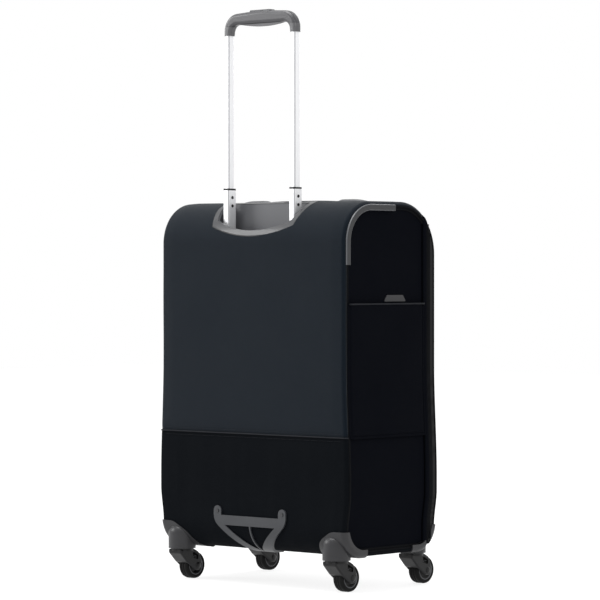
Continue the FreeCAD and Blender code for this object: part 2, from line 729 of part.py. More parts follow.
def casters():
    for end, swivel, low, high in (("rear", "rear_swivel", "69", "rear_face + 10"),
                                   ("front", "front_swivel", "seam_plane + 7", "-50")):
        for side, sign in (("left", 1), ("right", -1)):
            name = "%s_%s" % (end, side)
            housing("housing_" + name, sign, swivel, low, high)
            fork("fork_" + name, sign, swivel)
            wheel("wheel_" + name, sign, swivel)


# ----------------------------------------------------------------------- lid

def lid_panel():
    """Shallow tray that closes the front."""
    outer = soft_form("lid_outer")
    inner = soft_form("lid_inner", -S.skin)
    span = block("lid_span", (-FAR, FAR), (-FAR, "seam_plane - seam_gap / 2"), (0, "2 * top_height"))
    return keep(common("lid_panel", cut("lid_shell", outer, inner), span))


def lid_guards():
    """Moulded corner strips that carry on from the front caster housings."""
    guards = [corner_guard("lid_guard_" + side, sign, "front_face - 10", "seam_plane - 6.5")
              for side, sign in (("left", 1), ("right", -1))]
    return keep(group("lid_guards", *guards))


def lower_pocket():
    """Full-width pocket that swells out over the lower front."""
    face = S.front_face
    corners = [(face, S.lower_pocket_foot, 0), (face, S.lower_pocket_top, 0),
               (face - 3, S.lower_pocket_top - 5, 6), (face - S.lower_pocket_depth, 250, 260),
               (face - S.lower_pocket_depth, S.lower_pocket_foot, 14)]
    return keep(pad_body("lower_pocket", "YZ_Plane", [rounded(corners)], "case_width - 2 * edge_radius",
                         symmetric=True))


def upper_pocket():
    half = S.upper_pocket_half
    outline_xz = box_outline(-half, S.upper_pocket_foot, half, S.upper_pocket_top, 14)
    body = pad_body("upper_pocket", "XZ_Plane", [outline_xz], "upper_pocket_depth", "-front_face")
    face = S.front_face - S.upper_pocket_depth
    return keep(round_edges(body, "5", at_plane("Y", face)))


def zip_strip(label, half, face, low):
    return keep(block(label, (-half, half), (face + " - zip_thickness", face),
                      (low, "%s + zip_width" % low)))


def slider(label, across, face, height, upright=False):
    """Zip slider body standing just off its tape."""
    gap = "button_clearance"
    if upright:
        solid = block(label + "_block", (face + " + " + gap, face + " + slider_height"),
                      ("seam_plane - slider_width / 2", "seam_plane + slider_width / 2"),
                      (height, "%s + slider_length" % height))
    else:
        solid = block(label + "_block", (across, "%s + slider_length" % across),
                      (face + " - slider_height", "%s - %s" % (face, gap)),
                      (height, "%s + slider_width" % height))
    return keep(rounded_block(label, solid, 1))


def rounded_block(label, solid, radius):
    doc.recompute()
    fillet = doc.addObject("Part::Fillet", label)
    fillet.Base = solid
    fillet.Edges = [(i + 1, radius, radius) for i in range(len(solid.Shape.Edges))]
    return fillet


def pull(label, x, y, z):
    return keep(rounded_block(label, block(label + "_block", x, y, z), 0.6))


def zips():
    tape_face = "case_width / 2 + zip_thickness"
    for name in ("upper", "lower"):
        height = name + "_slider_height"
        slider("main_slider_" + name, None, tape_face, height, upright=True)
        out = tape_face + " + slider_height + pull_gap"
        pull("main_pull_" + name, (out, out + " + pull_thickness"),
             ("seam_plane - pull_width / 2", "seam_plane + pull_width / 2"),
             (height + " + 6 - pull_length", height + " + 6"))
    upper_face = "front_face - upper_pocket_depth"
    zip_strip("upper_pocket_zip", 170, upper_face, "upper_pocket_top - 22")
    zip_strip("lower_pocket_zip", 186, "front_face", "lower_pocket_top + 10")
    for name, face, start, height in (
            ("upper", upper_face + " - zip_thickness", "155", "upper_pocket_top - 22.5"),
            ("lower", "front_face - zip_thickness", "168", "lower_pocket_top + 9.5")):
        slider("%s_pocket_slider" % name, start, face, height)
        out = face + " - slider_height - pull_gap"
        pull("%s_pocket_pull" % name, (start + " + 2", start + " + 2 + pull_width"),
             (out + " - pull_thickness", out),
             (height + " + 5 - pull_length", height + " + 5"))


# --------------------------------------------------------------- whole object

def build():
    upper_wrap()
    lower_wrap()
    for side, sign in (("left", 1), ("right", -1)):
        side_panel(side, sign)
    edge_piping()
    front_rim()
    zip_tape("zip_tape_case", "seam_plane + seam_gap / 2", "seam_plane + 6")
    side_pocket()
    side_pocket_tab()
    back_board()
    base_board()
    corner_bumpers()
    rear_bracket()
    bracket_screws()
    housing_screws()
    handle_bezel()
    handle_tubes()
    tube_rivets()
    grip_shell()
    grip_insert()
    release_button()
    button_spring()
    top_handle_mounts()
    top_handle()
    side_handle_mounts()
    side_handle()
    casters()
    lid_panel()
    lid_guards()
    zip_tape("zip_tape_lid", "seam_plane - 6", "seam_plane - seam_gap / 2")
    lower_pocket()
    upper_pocket()
    zips()


def export():
    doc.recompute()
    failed = [item.Label for item in doc.Objects
              if "Invalid" in item.State or "Error" in item.State]
    if failed:
        raise RuntimeError("failed objects: " + ", ".join(failed))
    for node in parts:
        shape = node.Shape
        if shape.isNull() or not shape.isValid() or shape.Volume <= 0 or not shape.Solids:
            raise RuntimeError("bad shape: " + node.Label)
        shape.exportStep("parts/%s.step" % node.Label)


build()
export()
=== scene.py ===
import json
import math
import bpy
import bmesh
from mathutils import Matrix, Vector, noise


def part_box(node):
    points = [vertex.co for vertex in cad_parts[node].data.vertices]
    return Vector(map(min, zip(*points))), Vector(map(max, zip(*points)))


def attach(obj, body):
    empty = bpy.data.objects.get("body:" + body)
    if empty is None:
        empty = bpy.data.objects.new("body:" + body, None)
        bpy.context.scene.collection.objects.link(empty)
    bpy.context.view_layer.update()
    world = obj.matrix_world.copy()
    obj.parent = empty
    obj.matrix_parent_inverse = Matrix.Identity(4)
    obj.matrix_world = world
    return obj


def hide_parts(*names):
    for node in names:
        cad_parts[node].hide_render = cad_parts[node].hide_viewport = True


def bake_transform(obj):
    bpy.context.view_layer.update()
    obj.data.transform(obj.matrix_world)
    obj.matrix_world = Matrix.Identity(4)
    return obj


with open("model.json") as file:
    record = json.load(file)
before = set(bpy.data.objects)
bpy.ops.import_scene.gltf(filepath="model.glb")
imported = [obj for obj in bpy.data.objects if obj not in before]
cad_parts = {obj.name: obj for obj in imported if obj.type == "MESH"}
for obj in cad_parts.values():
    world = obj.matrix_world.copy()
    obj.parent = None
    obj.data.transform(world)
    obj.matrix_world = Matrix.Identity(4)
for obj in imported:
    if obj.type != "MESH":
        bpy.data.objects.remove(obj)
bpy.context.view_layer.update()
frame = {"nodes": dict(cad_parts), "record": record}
scene = bpy.context.scene
MM = 0.001

# ------------------------------------------------------------ case dimensions
# The side view of the case is a rounded rectangle in Y and Z; lengths in metres.

panel_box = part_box("front_rim")
wrap_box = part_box("upper_wrap")
lid_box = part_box("lid_panel")
HALF = panel_box[1].x
REAR = wrap_box[1].y
TOP = wrap_box[1].z
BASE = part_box("lower_wrap")[0].z
FRONT = lid_box[0].y
SEAM = (panel_box[0].y + lid_box[1].y) / 2
BAND = wrap_box[0].z
PANEL_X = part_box("side_panel_left")[1].x
RIM_REAR = panel_box[1].y
R_REAR_TOP, R_FRONT_TOP, R_FOOT = 70 * MM, 90 * MM, 50 * MM
EDGE_RADIUS = 7 * MM
EDGE_RETURN = 6 * MM
WELL_HALF = 94 * MM
WELL_FRONT = 78 * MM
SMILE_LOW, SMILE_CORNER, SMILE_SHOULDER = 611.5 * MM, 629 * MM, 650 * MM
SMILE_CORNER_HALF = 86 * MM
LIP = 9 * MM
UPPER_SEAM = 488 * MM

# Cloth thicknesses, half the width of the hinge strip, the pitch of a zip's coil, and the radii of
# the cords sewn on the cloth.
CLOTH = 2.2 * MM
POCKET_CLOTH = 1.2 * MM
HINGE_CLOTH = 0.8 * MM
HINGE_REACH = 6 * MM
COIL_PITCH = 1.6 * MM
EDGE_CORD = 2.2 * MM
THIN_CORD = 1.8 * MM
SEAM_CORD = 1.1 * MM

# Stuffed cloth reaches its full bulge this far from a seam.
PUFF_REACH = 30 * MM

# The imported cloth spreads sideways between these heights.
SPREAD = 6.2 * MM
SPREAD_START, SPREAD_FULL = 104 * MM, 164 * MM
SPREAD_FADE, SPREAD_END = 185 * MM, 385 * MM

# Domed sockets of the rear casters, where the cloth is cut away.
SOCKET_X, SOCKET_Y = 180 * MM, 110 * MM
SOCKET_RADIUS = 22.5 * MM
DOME_START, DOME_END = 80 * MM, 94 * MM
DOME_FLAT, DOME_RADIUS = 8 * MM, 14.5 * MM

# The grip is lighter below this height.
GRIP_SPLIT = 965.4 * MM

# Tones used on more than one material.
GREY = (0.078, 0.080, 0.087)
LINING = (0.12, 0.12, 0.13)


# ----------------------------------------------------------------- materials

MATS = {}


def shader(name, base, rough, metal=0.0, sheen=0.0, coat=0.0, spec=0.5):
    """Principled material with constant values on its own sockets, kept in MATS."""
    mat = bpy.data.materials.new(name)
    MATS[name] = mat
    mat.use_nodes = True
    bsdf = mat.node_tree.nodes["Principled BSDF"]
    bsdf.inputs["Base Color"].default_value = (*base, 1)
    bsdf.inputs["Roughness"].default_value = rough
    bsdf.inputs["Metallic"].default_value = metal
    bsdf.inputs["Sheen Weight"].default_value = sheen
    bsdf.inputs["Sheen Roughness"].default_value = 0.5
    bsdf.inputs["Coat Weight"].default_value = coat
    bsdf.inputs["Specular IOR Level"].default_value = spec
    return mat.node_tree, bsdf


def node(tree, kind, **values):
    """Shader node with some of its inputs or settings given."""
    made = tree.nodes.new(kind)
    for key, value in values.items():
        if key in made.inputs:
            made.inputs[key].default_value = value
        else:
            setattr(made, key, value)
    return made


def coordinates(tree, scale):
    """Object coordinates, stretched by a scale along each axis."""
    source = node(tree, "ShaderNodeTexCoord")
    mapping = node(tree, "ShaderNodeMapping")
    mapping.inputs["Scale"].default_value = scale
    tree.links.new(source.outputs["Object"], mapping.inputs["Vector"])
    return mapping.outputs["Vector"]


def ramp(tree, value, low, high, dark, light):
    """Colour ramp between two colours over a range of a value."""
    made = node(tree, "ShaderNodeValToRGB")
    made.color_ramp.elements[0].position = low
    made.color_ramp.elements[0].color = (*dark, 1)
    made.color_ramp.elements[1].position = high
    made.color_ramp.elements[1].color = (*light, 1)
    tree.links.new(value, made.inputs["Fac"])
    return made.outputs["Color"]


def span(tree, value, low, high):
    """Map a 0 to 1 value to a range."""
    made = node(tree, "ShaderNodeMapRange")
    made.inputs["To Min"].default_value = low
    made.inputs["To Max"].default_value = high
    tree.links.new(value, made.inputs["Value"])
    return made.outputs["Result"]


def bump(tree, bsdf, value, strength, distance, under=None):
    """Raise the surface by a value, over an earlier bump if one is given."""
    made = node(tree, "ShaderNodeBump", Strength=strength, Distance=distance)
    tree.links.new(value, made.inputs["Height"])
    if under is not None:
        tree.links.new(under, made.inputs["Normal"])
    tree.links.new(made.outputs["Normal"], bsdf.inputs["Normal"])
    return made.outputs["Normal"]


def combine(tree, first, second, kind):
    """Sum or product of two values."""
    made = node(tree, "ShaderNodeMath", operation=kind)
    tree.links.new(first, made.inputs[0])
    tree.links.new(second, made.inputs[1])
    return made.outputs[0]


def clouds(tree, scale, detail, roughness, along=(1, 1, 1)):
    """Noise in object space, stretched by a scale along each axis."""
    made = node(tree, "ShaderNodeTexNoise", Scale=scale, Detail=detail, Roughness=roughness)
    tree.links.new(coordinates(tree, along), made.inputs["Vector"])
    return made.outputs["Fac"]


def split_axes(tree, kind):
    """X, Y and Z of the object coordinates or of the surface normal."""
    source = node(tree, "ShaderNodeTexCoord")
    parts = node(tree, "ShaderNodeSeparateXYZ")
    tree.links.new(source.outputs[kind], parts.inputs["Vector"])
    return parts.outputs


def absolute(tree, value):
    made = node(tree, "ShaderNodeMath", operation="ABSOLUTE")
    tree.links.new(value, made.inputs[0])
    return made.outputs[0]


def shades(base, darker, lighter):
    """A darker and a lighter tone of a colour."""
    return tuple(c * darker for c in base), tuple(min(1, c * lighter) for c in base)


def threads(tree, direction, pitch):
    """Waves across one axis, one per thread."""
    wave = node(tree, "ShaderNodeTexWave", wave_type="BANDS", bands_direction=direction)
    wave.inputs["Scale"].default_value = 2 * math.pi / pitch / 20
    wave.inputs["Distortion"].default_value = 0.6
    wave.inputs["Detail"].default_value = 1.0
    wave.inputs["Detail Scale"].default_value = 3.0
    tree.links.new(coordinates(tree, (1, 1, 1)), wave.inputs["Vector"])
    return wave.outputs["Fac"]


def woven(name, base, pitch, rough=0.85, fleck=1.6, sheen=0.02, across=("X", "Z"), spec=0.1):
    """Woven cloth: crossed threads, flecks of lighter yarn and faint wear."""
    tree, bsdf = shader(name, base, rough, sheen=sheen, spec=spec)
    crossed = combine(tree, threads(tree, across[0], pitch), threads(tree, across[1], pitch), "MULTIPLY")
    yarn = clouds(tree, 1.3 / pitch, 2.0, 0.6)
    blend = combine(tree, crossed, yarn, "ADD")
    tree.links.new(ramp(tree, blend, 0.35, 1.25, *shades(base, 0.55, fleck)), bsdf.inputs["Base Color"])
    wear = clouds(tree, 14.0, 3.0, 0.5)
    tree.links.new(span(tree, wear, rough - 0.12, rough + 0.1), bsdf.inputs["Roughness"])
    soft = bump(tree, bsdf, wear, 0.25, 0.0012)
    bump(tree, bsdf, blend, 0.55, 0.00035, under=soft)


def moulded(name, base, rough=0.45, grain=0.0009, coat=0.05, spec=0.45):
    """Moulded plastic with a fine spark-eroded grain."""
    tree, bsdf = shader(name, base, rough, coat=coat, spec=spec)
    fine = node(tree, "ShaderNodeTexVoronoi", Scale=1 / grain)
    tree.links.new(coordinates(tree, (1, 1, 1)), fine.inputs["Vector"])
    cloud = clouds(tree, 35.0, 4.0, 0.6)
    tree.links.new(ramp(tree, cloud, 0.3, 0.7, *shades(base, 0.9, 1.12)), bsdf.inputs["Base Color"])
    tree.links.new(span(tree, cloud, rough - 0.08, rough + 0.08), bsdf.inputs["Roughness"])
    bump(tree, bsdf, fine.outputs["Distance"], 0.25, 0.0002)
    return tree, bsdf


def split_tone_and_painted_light(name, first, second, measure, split):
    """Moulding that changes from its first colour to its second where a measure passes a split; on the
    corner guards and the handle bezel this change is painted light and shade.
    """
    tree, bsdf = moulded(name, second, 0.36, coat=0.1)
    grained = bsdf.inputs["Base Color"].links[0].from_socket
    mask = node(tree, "ShaderNodeMapRange")
    mask.inputs["From Min"].default_value = split - 0.0004
    mask.inputs["From Max"].default_value = split + 0.0004
    tree.links.new(measure(tree), mask.inputs["Value"])
    mixed = node(tree, "ShaderNodeMix", data_type="RGBA")
    mixed.inputs["A"].default_value = (*first, 1)
    tree.links.new(mask.outputs["Result"], mixed.inputs["Factor"])
    tree.links.new(grained, mixed.inputs["B"])
    tree.links.new(mixed.outputs["Result"], bsdf.inputs["Base Color"])


def height(tree):
    """Height above the floor."""
    return split_axes(tree, "Object")["Z"]


def facing_side(tree):
    """How squarely a surface faces left or right."""
    return absolute(tree, split_axes(tree, "Normal")["X"])


def corner_share(tree):
    """How far a surface faces diagonally between X and Y: high along a tube's corners."""
    axes = split_axes(tree, "Normal")
    return absolute(tree, combine(tree, axes["X"], axes["Y"], "MULTIPLY"))


def top_round(tree):
    """Distance from the axis of the case's rounded upper rear edge."""
    offset = node(tree, "ShaderNodeVectorMath", operation="SUBTRACT")
    offset.inputs[1].default_value = (0, REAR - R_REAR_TOP, TOP - R_REAR_TOP)
    tree.links.new(coordinates(tree, (0, 1, 1)), offset.inputs[0])
    size = node(tree, "ShaderNodeVectorMath", operation="LENGTH")
    tree.links.new(offset.outputs["Vector"], size.inputs[0])
    return size.outputs["Value"]


def brushed(name, base, rough=0.3, metal=1.0):
    """Drawn metal with lengthwise brush lines and painted shade on its corners; satin anodising is partly
    matt.
    """
    tree, bsdf = shader(name, base, rough, metal=metal)
    lines = clouds(tree, 1.0, 3.0, 0.7, along=(2200, 2200, 25))
    tree.links.new(span(tree, lines, rough - 0.07, rough + 0.12), bsdf.inputs["Roughness"])
    streaks = ramp(tree, lines, 0.35, 0.65, *shades(base, 0.93, 1.05))
    # Painted shade: surfaces that face diagonally between X and Y, along a tube's corners, are darkened.
    edges = ramp(tree, corner_share(tree), 0.30, 0.48, (1, 1, 1), (0.42, 0.42, 0.43))
    streaked_and_shaded = node(tree, "ShaderNodeMix", data_type="RGBA", blend_type="MULTIPLY")
    streaked_and_shaded.inputs["Factor"].default_value = 1.0
    tree.links.new(streaks, streaked_and_shaded.inputs["A"])
    tree.links.new(edges, streaked_and_shaded.inputs["B"])
    tree.links.new(streaked_and_shaded.outputs["Result"], bsdf.inputs["Base Color"])
    bump(tree, bsdf, lines, 0.12, 0.0001)


def rubber(name, base):
    tree, bsdf = shader(name, base, 0.62, spec=0.12)
    dust = clouds(tree, 120.0, 5.0, 0.65)
    light = tuple(c * 2.2 for c in base)
    tree.links.new(ramp(tree, dust, 0.45, 0.8, base, light), bsdf.inputs["Base Color"])
    tree.links.new(span(tree, dust, 0.5, 0.78), bsdf.inputs["Roughness"])
    bump(tree, bsdf, dust, 0.2, 0.0004)


def make_materials():
    """Every finish of the case, under its name in MATS."""
    woven("woven_navy", (0.0028, 0.0054, 0.0090), 0.0015, sheen=0.105, spec=0.04)
    woven("black_fabric", (0.0022, 0.0026, 0.0042), 0.0011, sheen=0.0, across=("Y", "Z"), spec=0.02)
    woven("band_fabric", (0.0026, 0.0033, 0.0044), 0.0011, sheen=0.0, spec=0.03)
    woven("lid_fabric", (0.0125, 0.0125, 0.0130), 0.0012)
    woven("piping", (0.0026, 0.0029, 0.0037), 0.0008, rough=0.7, sheen=0.0, spec=0.04)
    woven("zip_tape", (0.008, 0.008, 0.009), 0.0006, rough=0.7)
    woven("lining", LINING, 0.0008, rough=0.6, fleck=1.2)
    woven("side_lining", LINING, 0.0008, rough=0.6, fleck=1.2, across=("Y", "Z"))
    woven("strap", (0.010, 0.010, 0.013), 0.0016, rough=0.65, spec=0.2)
    moulded("mount_vinyl", (0.045, 0.047, 0.052), 0.5)
    moulded("grey_plastic", GREY, 0.45)
    moulded("trim_plastic", (0.028, 0.030, 0.034), 0.42, spec=0.35)
    # Painted light: the corner guards get a light rim as a painted highlight, and their faces that look
    # squarely sideways get a dark painted shade.
    split_tone_and_painted_light("bumper_plastic", (0.075, 0.078, 0.085), (0.010, 0.011, 0.013), facing_side, 0.86)
    moulded("housing_plastic", (0.022, 0.022, 0.024), 0.36, spec=0.3, coat=0.0)
    moulded("black_plastic", (0.006, 0.006, 0.0065), 0.34, spec=0.22, coat=0.0)
    split_tone_and_painted_light("grip_plastic", (0.072, 0.072, 0.076), (0.040, 0.040, 0.044), height, GRIP_SPLIT)
    moulded("grip_insert", (0.100, 0.100, 0.106), 0.6)
    brushed("aluminium", (0.84, 0.845, 0.86), metal=0.6)
    brushed("steel", (0.45, 0.45, 0.47))
    moulded("screw", (0.02, 0.02, 0.022), 0.35)
    moulded("zip_metal", (0.05, 0.05, 0.055), 0.32, coat=0.3)
    rubber("wheel_rubber", (0.003, 0.003, 0.003))
    woven("thread", (0.010, 0.011, 0.014), 0.0004, rough=0.7)
    # Painted shade: the handle bezel's lip, outside the rounded top edge, is darker than the wall of the
    # well.
    split_tone_and_painted_light("bezel_plastic", GREY, (0.026, 0.027, 0.030), top_round, R_REAR_TOP + 0.0001)
    moulded("gasket", (0.004, 0.004, 0.005), 0.55)


# Nodes whose finish differs from the one of their slot.
TRIM = {
    "corner_bumpers": "bumper_plastic",
    "rear_bracket": "trim_plastic",
    "side_pocket_tab": "housing_plastic",
    "handle_bezel": "bezel_plastic",
}


def dress_cad():
    """Give every carried-over node the material of its slot."""
    slots = {part["node"]: part["material_slot"] for part in frame["record"]["subparts"]}
    for name, item in frame["nodes"].items():
        item.data.materials.clear()
        item.data.materials.append(MATS[TRIM.get(name, slots[name])])


# --------------------------------------------------------------- mesh helpers

def finish_mesh(name, bm, mat, body, replaces=(), smooth=True, inner=None, soft=False):
    """Turn a bmesh into a piece that rides on a body; soft pieces settle with the case."""
    bmesh.ops.recalc_face_normals(bm, faces=bm.faces)
    mesh = bpy.data.meshes.new(name)
    bm.to_mesh(mesh)
    bm.free()
    item = bpy.data.objects.new(name, mesh)
    scene.collection.objects.link(item)
    mesh.materials.append(MATS[mat])
    if inner:
        mesh.materials.append(MATS[inner])
    if smooth:
        for face in mesh.polygons:
            face.use_smooth = True
    if soft:
        settle(item)
    if body:
        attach(item, body)
    if replaces:
        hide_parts(*replaces)
    return item


def apply(item):
    """Apply all modifiers of a piece."""
    depsgraph = bpy.context.evaluated_depsgraph_get()
    mesh = bpy.data.meshes.new_from_object(item.evaluated_get(depsgraph))
    item.modifiers.clear()
    item.data = mesh


def thicken(item, thickness, inner=False):
    """Solidify inwards; the inner skin may take the second material."""
    made = item.modifiers.new("thick", "SOLIDIFY")
    made.thickness = thickness
    made.offset = -1
    if inner:
        made.material_offset = 1
        made.material_offset_rim = 0
    apply(item)


def steps(low, high, count):
    """Evenly spaced values from low to high, with both ends."""
    return [low + (high - low) * k / count for k in range(count + 1)]


def skin(bm, rows, closed=False):
    """Faces between neighbouring rows of vertices; closed rows run round to their start."""
    for first, second in zip(rows, rows[1:]):
        count = len(first)
        for i in range(count if closed else count - 1):
            n = (i + 1) % count
            bm.faces.new((first[i], first[n], second[n], second[i]))


def cap_ends(bm, rings):
    """Close both ends of a swept form."""
    bm.faces.new(rings[0])
    bm.faces.new(rings[-1][::-1])


def join_borders(bm, front, back):
    """Join the outer edges of two grids of the same size."""
    rows, columns = len(front) - 1, len(front[0]) - 1
    border = ([(0, i) for i in range(columns)] + [(k, columns) for k in range(rows)]
              + [(rows, columns - i) for i in range(columns)] + [(rows - k, 0) for k in range(rows)])
    for a, b in zip(border, border[1:] + border[:1]):
        bm.faces.new((front[a[0]][a[1]], front[b[0]][b[1]], back[b[0]][b[1]], back[a[0]][a[1]]))


def face_sideways(item, sign):
    """Turn a sheet's faces to look right (negative) or left (positive)."""
    if item.data.polygons[0].normal.x * sign < 0:
        item.data.flip_normals()


def tube(bm, points, radius, sides=10, squash=1.0, up=None):
    """Sweep a round or flattened section along points."""
    last = len(points) - 1
    rings = []
    for i, point in enumerate(points):
        along = (points[min(i + 1, last)] - points[max(i - 1, 0)]).normalized()
        side = along.cross(up or Vector((1, 0, 0)))
        if side.length < 1e-6:
            side = along.orthogonal()
        side.normalize()
        lift = side.cross(along)
        ring = []
        for k in range(sides):
            angle = 2 * math.pi * k / sides
            offset = side * math.cos(angle) * radius * squash + lift * math.sin(angle) * radius
            ring.append(bm.verts.new(point + offset))
        rings.append(ring)
    skin(bm, rings, closed=True)
    cap_ends(bm, rings)


def cord(name, points, radius, mat, body, slot, replaces=(), soft=True, **section):
    """Piece swept along points, such as a piping cord or a folded seam."""
    bm = bmesh.new()
    tube(bm, points, radius, **section)
    finish_mesh(name, bm, mat, body, replaces, soft=soft)


def lathe(bm, profile, axis, centre, sides=48):
    """Spin (radius, height) pairs about an axis through a centre."""
    axis = Vector(axis).normalized()
    side = axis.orthogonal().normalized()
    other = axis.cross(side)
    rings = []
    for radius, height in profile:
        if radius < 1e-7:
            rings.append([bm.verts.new(centre + axis * height)])
            continue
        rings.append([bm.verts.new(centre + axis * height + side * math.cos(t) * radius
                                   + other * math.sin(t) * radius)
                      for t in (2 * math.pi * k / sides for k in range(sides))])
    for first, second in zip(rings, rings[1:]):
        for k in range(sides):
            n = (k + 1) % sides
            if len(first) == 1 and len(second) == 1:
                continue
            if len(first) == 1:
                bm.faces.new((first[0], second[k], second[n]))
            elif len(second) == 1:
                bm.faces.new((first[k], second[0], first[n]))
            else:
                bm.faces.new((first[k], first[n], second[n], second[k]))


def rounded_block(bm, low, high, bevel, segments=3):
    """Box with rounded edges between two corners."""
    low, high = Vector(low), Vector(high)
    made = bmesh.ops.create_cube(bm, size=1.0)
    verts = made["verts"]
    middle, size = (low + high) / 2, high - low
    for vert in verts:
        vert.co = middle + Vector(tuple(vert.co[i] * size[i] for i in range(3)))
    edges = list(dict.fromkeys(edge for vert in verts for edge in vert.link_edges))
    bmesh.ops.bevel(bm, geom=edges, offset=bevel, segments=segments, profile=0.5, affect="EDGES")


# --------------------------------------------------------------- case outline

def outline(grow=0.0, step=0.004):
    """Closed side outline as (y, z, normal y, normal z), from the lower rear corner."""
    corners = [
        (REAR, BASE, R_FOOT, -90), (REAR, TOP, R_REAR_TOP, 0),
        (FRONT, TOP, R_FRONT_TOP, 90), (FRONT, BASE, R_FOOT, 180)]
    points = []
    for y, z, radius, start in corners:
        cy = y - radius if y == REAR else y + radius
        cz = z + radius if z == BASE else z - radius
        count = max(4, int(radius * math.pi / 2 / step))
        for k in range(count + 1):
            angle = math.radians(start + 90 * k / count)
            ny, nz = math.cos(angle), math.sin(angle)
            points.append((cy + ny * (radius + grow), cz + nz * (radius + grow), ny, nz))
    full = []
    for i, point in enumerate(points):
        after = points[(i + 1) % len(points)]
        gap = math.hypot(after[0] - point[0], after[1] - point[1])
        count = max(1, round(gap / step))
        for k in range(count):
            t = k / count
            full.append(tuple(point[j] + (after[j] - point[j]) * t for j in range(4)))
    return full


def stretch(points, test):
    """The run of a closed outline that passes a test, starting after a gap."""
    flags = [test(p) for p in points]
    if all(flags):
        return points
    start = next(i for i in range(len(points)) if flags[i] and not flags[i - 1])
    turned = points[start:] + points[:start]
    result = []
    for point in turned:
        if not test(point):
            break
        result.append(point)
    return result


def inside_outline(y, z, inset):
    """Whether a point is inside the side outline, inset by a distance."""
    rear, front, top, base = REAR - inset, FRONT + inset, TOP - inset, BASE + inset
    if not (front < y < rear and base < z < top):
        return False
    for cy, cz, radius, sy, sz in (
            (REAR - R_FOOT, BASE + R_FOOT, R_FOOT, 1, -1),
            (REAR - R_REAR_TOP, TOP - R_REAR_TOP, R_REAR_TOP, 1, 1),
            (FRONT + R_FRONT_TOP, TOP - R_FRONT_TOP, R_FRONT_TOP, -1, 1),
            (FRONT + R_FOOT, BASE + R_FOOT, R_FOOT, -1, -1)):
        if (y - cy) * sy > 0 and (z - cz) * sz > 0:
            return math.hypot(y - cy, z - cz) < radius - inset
    return True


def smooth(t):
    """Ease from 0 to 1 as t goes from 0 to 1."""
    t = max(0.0, min(1.0, t))
    return t * t * (3 - 2 * t)


def ripple(x, y, z, scale, seed):
    """Fixed, gentle unevenness of cloth, between -1 and 1."""
    return noise.noise(Vector((x * scale + seed, y * scale, z * scale)))


def flare(z):
    """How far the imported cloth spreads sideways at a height."""
    rise = smooth((z - SPREAD_START) / (SPREAD_FULL - SPREAD_START))
    fall = smooth((z - SPREAD_FADE) / (SPREAD_END - SPREAD_FADE))
    return SPREAD * rise * (1 - fall)


def settle(item):
    """Spread a piece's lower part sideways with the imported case."""
    for vert in item.data.vertices:
        share = max(-1.0, min(1.0, vert.co.x / HALF))
        vert.co.x += flare(vert.co.z) * share * abs(share)


def puff(distance, reach, depth):
    """Rise of stuffed cloth away from its seam."""
    return depth * smooth(distance / reach)


def smile_height(x, grow=0.0):
    """Height of the well's lower edge: a shallow curve, then steep straight shoulders."""
    across = abs(x)
    corner = SMILE_CORNER_HALF + 0.8 * grow
    rise = SMILE_CORNER - SMILE_LOW
    if across <= corner:
        radius = (corner ** 2 + rise ** 2) / (2 * rise)
        return SMILE_LOW - grow + radius - math.sqrt(radius ** 2 - across ** 2)
    share = (across - corner) / (WELL_HALF + grow - corner)
    return SMILE_CORNER - grow + share * (SMILE_SHOULDER - SMILE_CORNER + grow)


def in_well(x, y, z, grow):
    """Whether a point is over the handle well, enlarged by a margin."""
    return abs(x) < WELL_HALF + grow and y > WELL_FRONT - grow and z > smile_height(x, grow)


# ------------------------------------------------------------------ the cloth

def across_case():
    """Stations across a sheet as (x, inset, normal x), turning over both rounded side edges."""
    flat = HALF - EDGE_RADIUS
    turn = [(flat + EDGE_RADIUS * math.sin(a), EDGE_RADIUS * (1 - math.cos(a)), math.sin(a))
            for a in (math.radians(84) * k / 9 for k in range(1, 10))]
    middle = [(x, 0.0, 0.0) for x in steps(-flat, flat, 98)]
    return [(-x, inset, -nx) for x, inset, nx in reversed(turn)] + middle + turn


def wrap_piece(name, mat, test, replaces, lift, hole):
    """Sheet that follows the case outline from side to side and turns in over its edges."""
    path = stretch(outline(0.0), test)
    stations = across_case()
    bm = bmesh.new()
    grid = []
    for y, z, ny, nz in path:
        line = []
        for x, inset, nx in stations:
            out = lift(x, y, z)
            rise = out * math.sqrt(1 - nx * nx) - inset
            line.append(bm.verts.new((x + nx * out, y + ny * rise, z + nz * rise)))
        grid.append(line)
    for first, second in zip(grid, grid[1:]):
        for i in range(len(stations) - 1):
            quad = (first[i], first[i + 1], second[i + 1], second[i])
            middle = sum((v.co for v in quad), Vector()) / 4
            if not hole(*middle):
                bm.faces.new(quad)
    bmesh.ops.delete(bm, geom=[v for v in bm.verts if not v.link_faces], context="VERTS")
    item = finish_mesh(name, bm, mat, "case", replaces, inner="lining", soft=True)
    thicken(item, CLOTH, inner=True)


def back_lift(x, y, z):
    """The back bulges between its edges and dips along the seam to the band."""
    seam = abs(z - BAND)
    value = puff(min(HALF - abs(x), seam), PUFF_REACH, 0.0012) + 0.0006 * ripple(x, y, z, 9, 3)
    return value - 0.0007 * (1 - smooth(seam / 0.012))


def band_lift(x, y, z):
    """The band bulges a little, with upright folds that fade out at its edges."""
    edge = min(HALF - abs(x), abs(BAND - z))
    folds = 0.0011 * ripple(x * 4.5, y * 0.3, z * 0.6, 9, 11)
    if z < BASE + 0.002:
        return 0.0
    return puff(edge, PUFF_REACH, 0.0008) + folds * smooth(edge / 0.02)


def near_caster(x, y, z):
    """Inside a rear caster's domed socket, where the cloth is cut away."""
    crown = max(0.0, z - DOME_START)
    radius = SOCKET_RADIUS
    if crown > 0:
        radius = DOME_FLAT + math.sqrt(max(0.0, DOME_RADIUS ** 2 - crown ** 2))
    return z < DOME_END and math.hypot(abs(x) - SOCKET_X, y - SOCKET_Y) < radius


def behind_rim(point):
    """Whether an outline point belongs to the case behind its front rim."""
    return point[0] > RIM_REAR - 0.0005


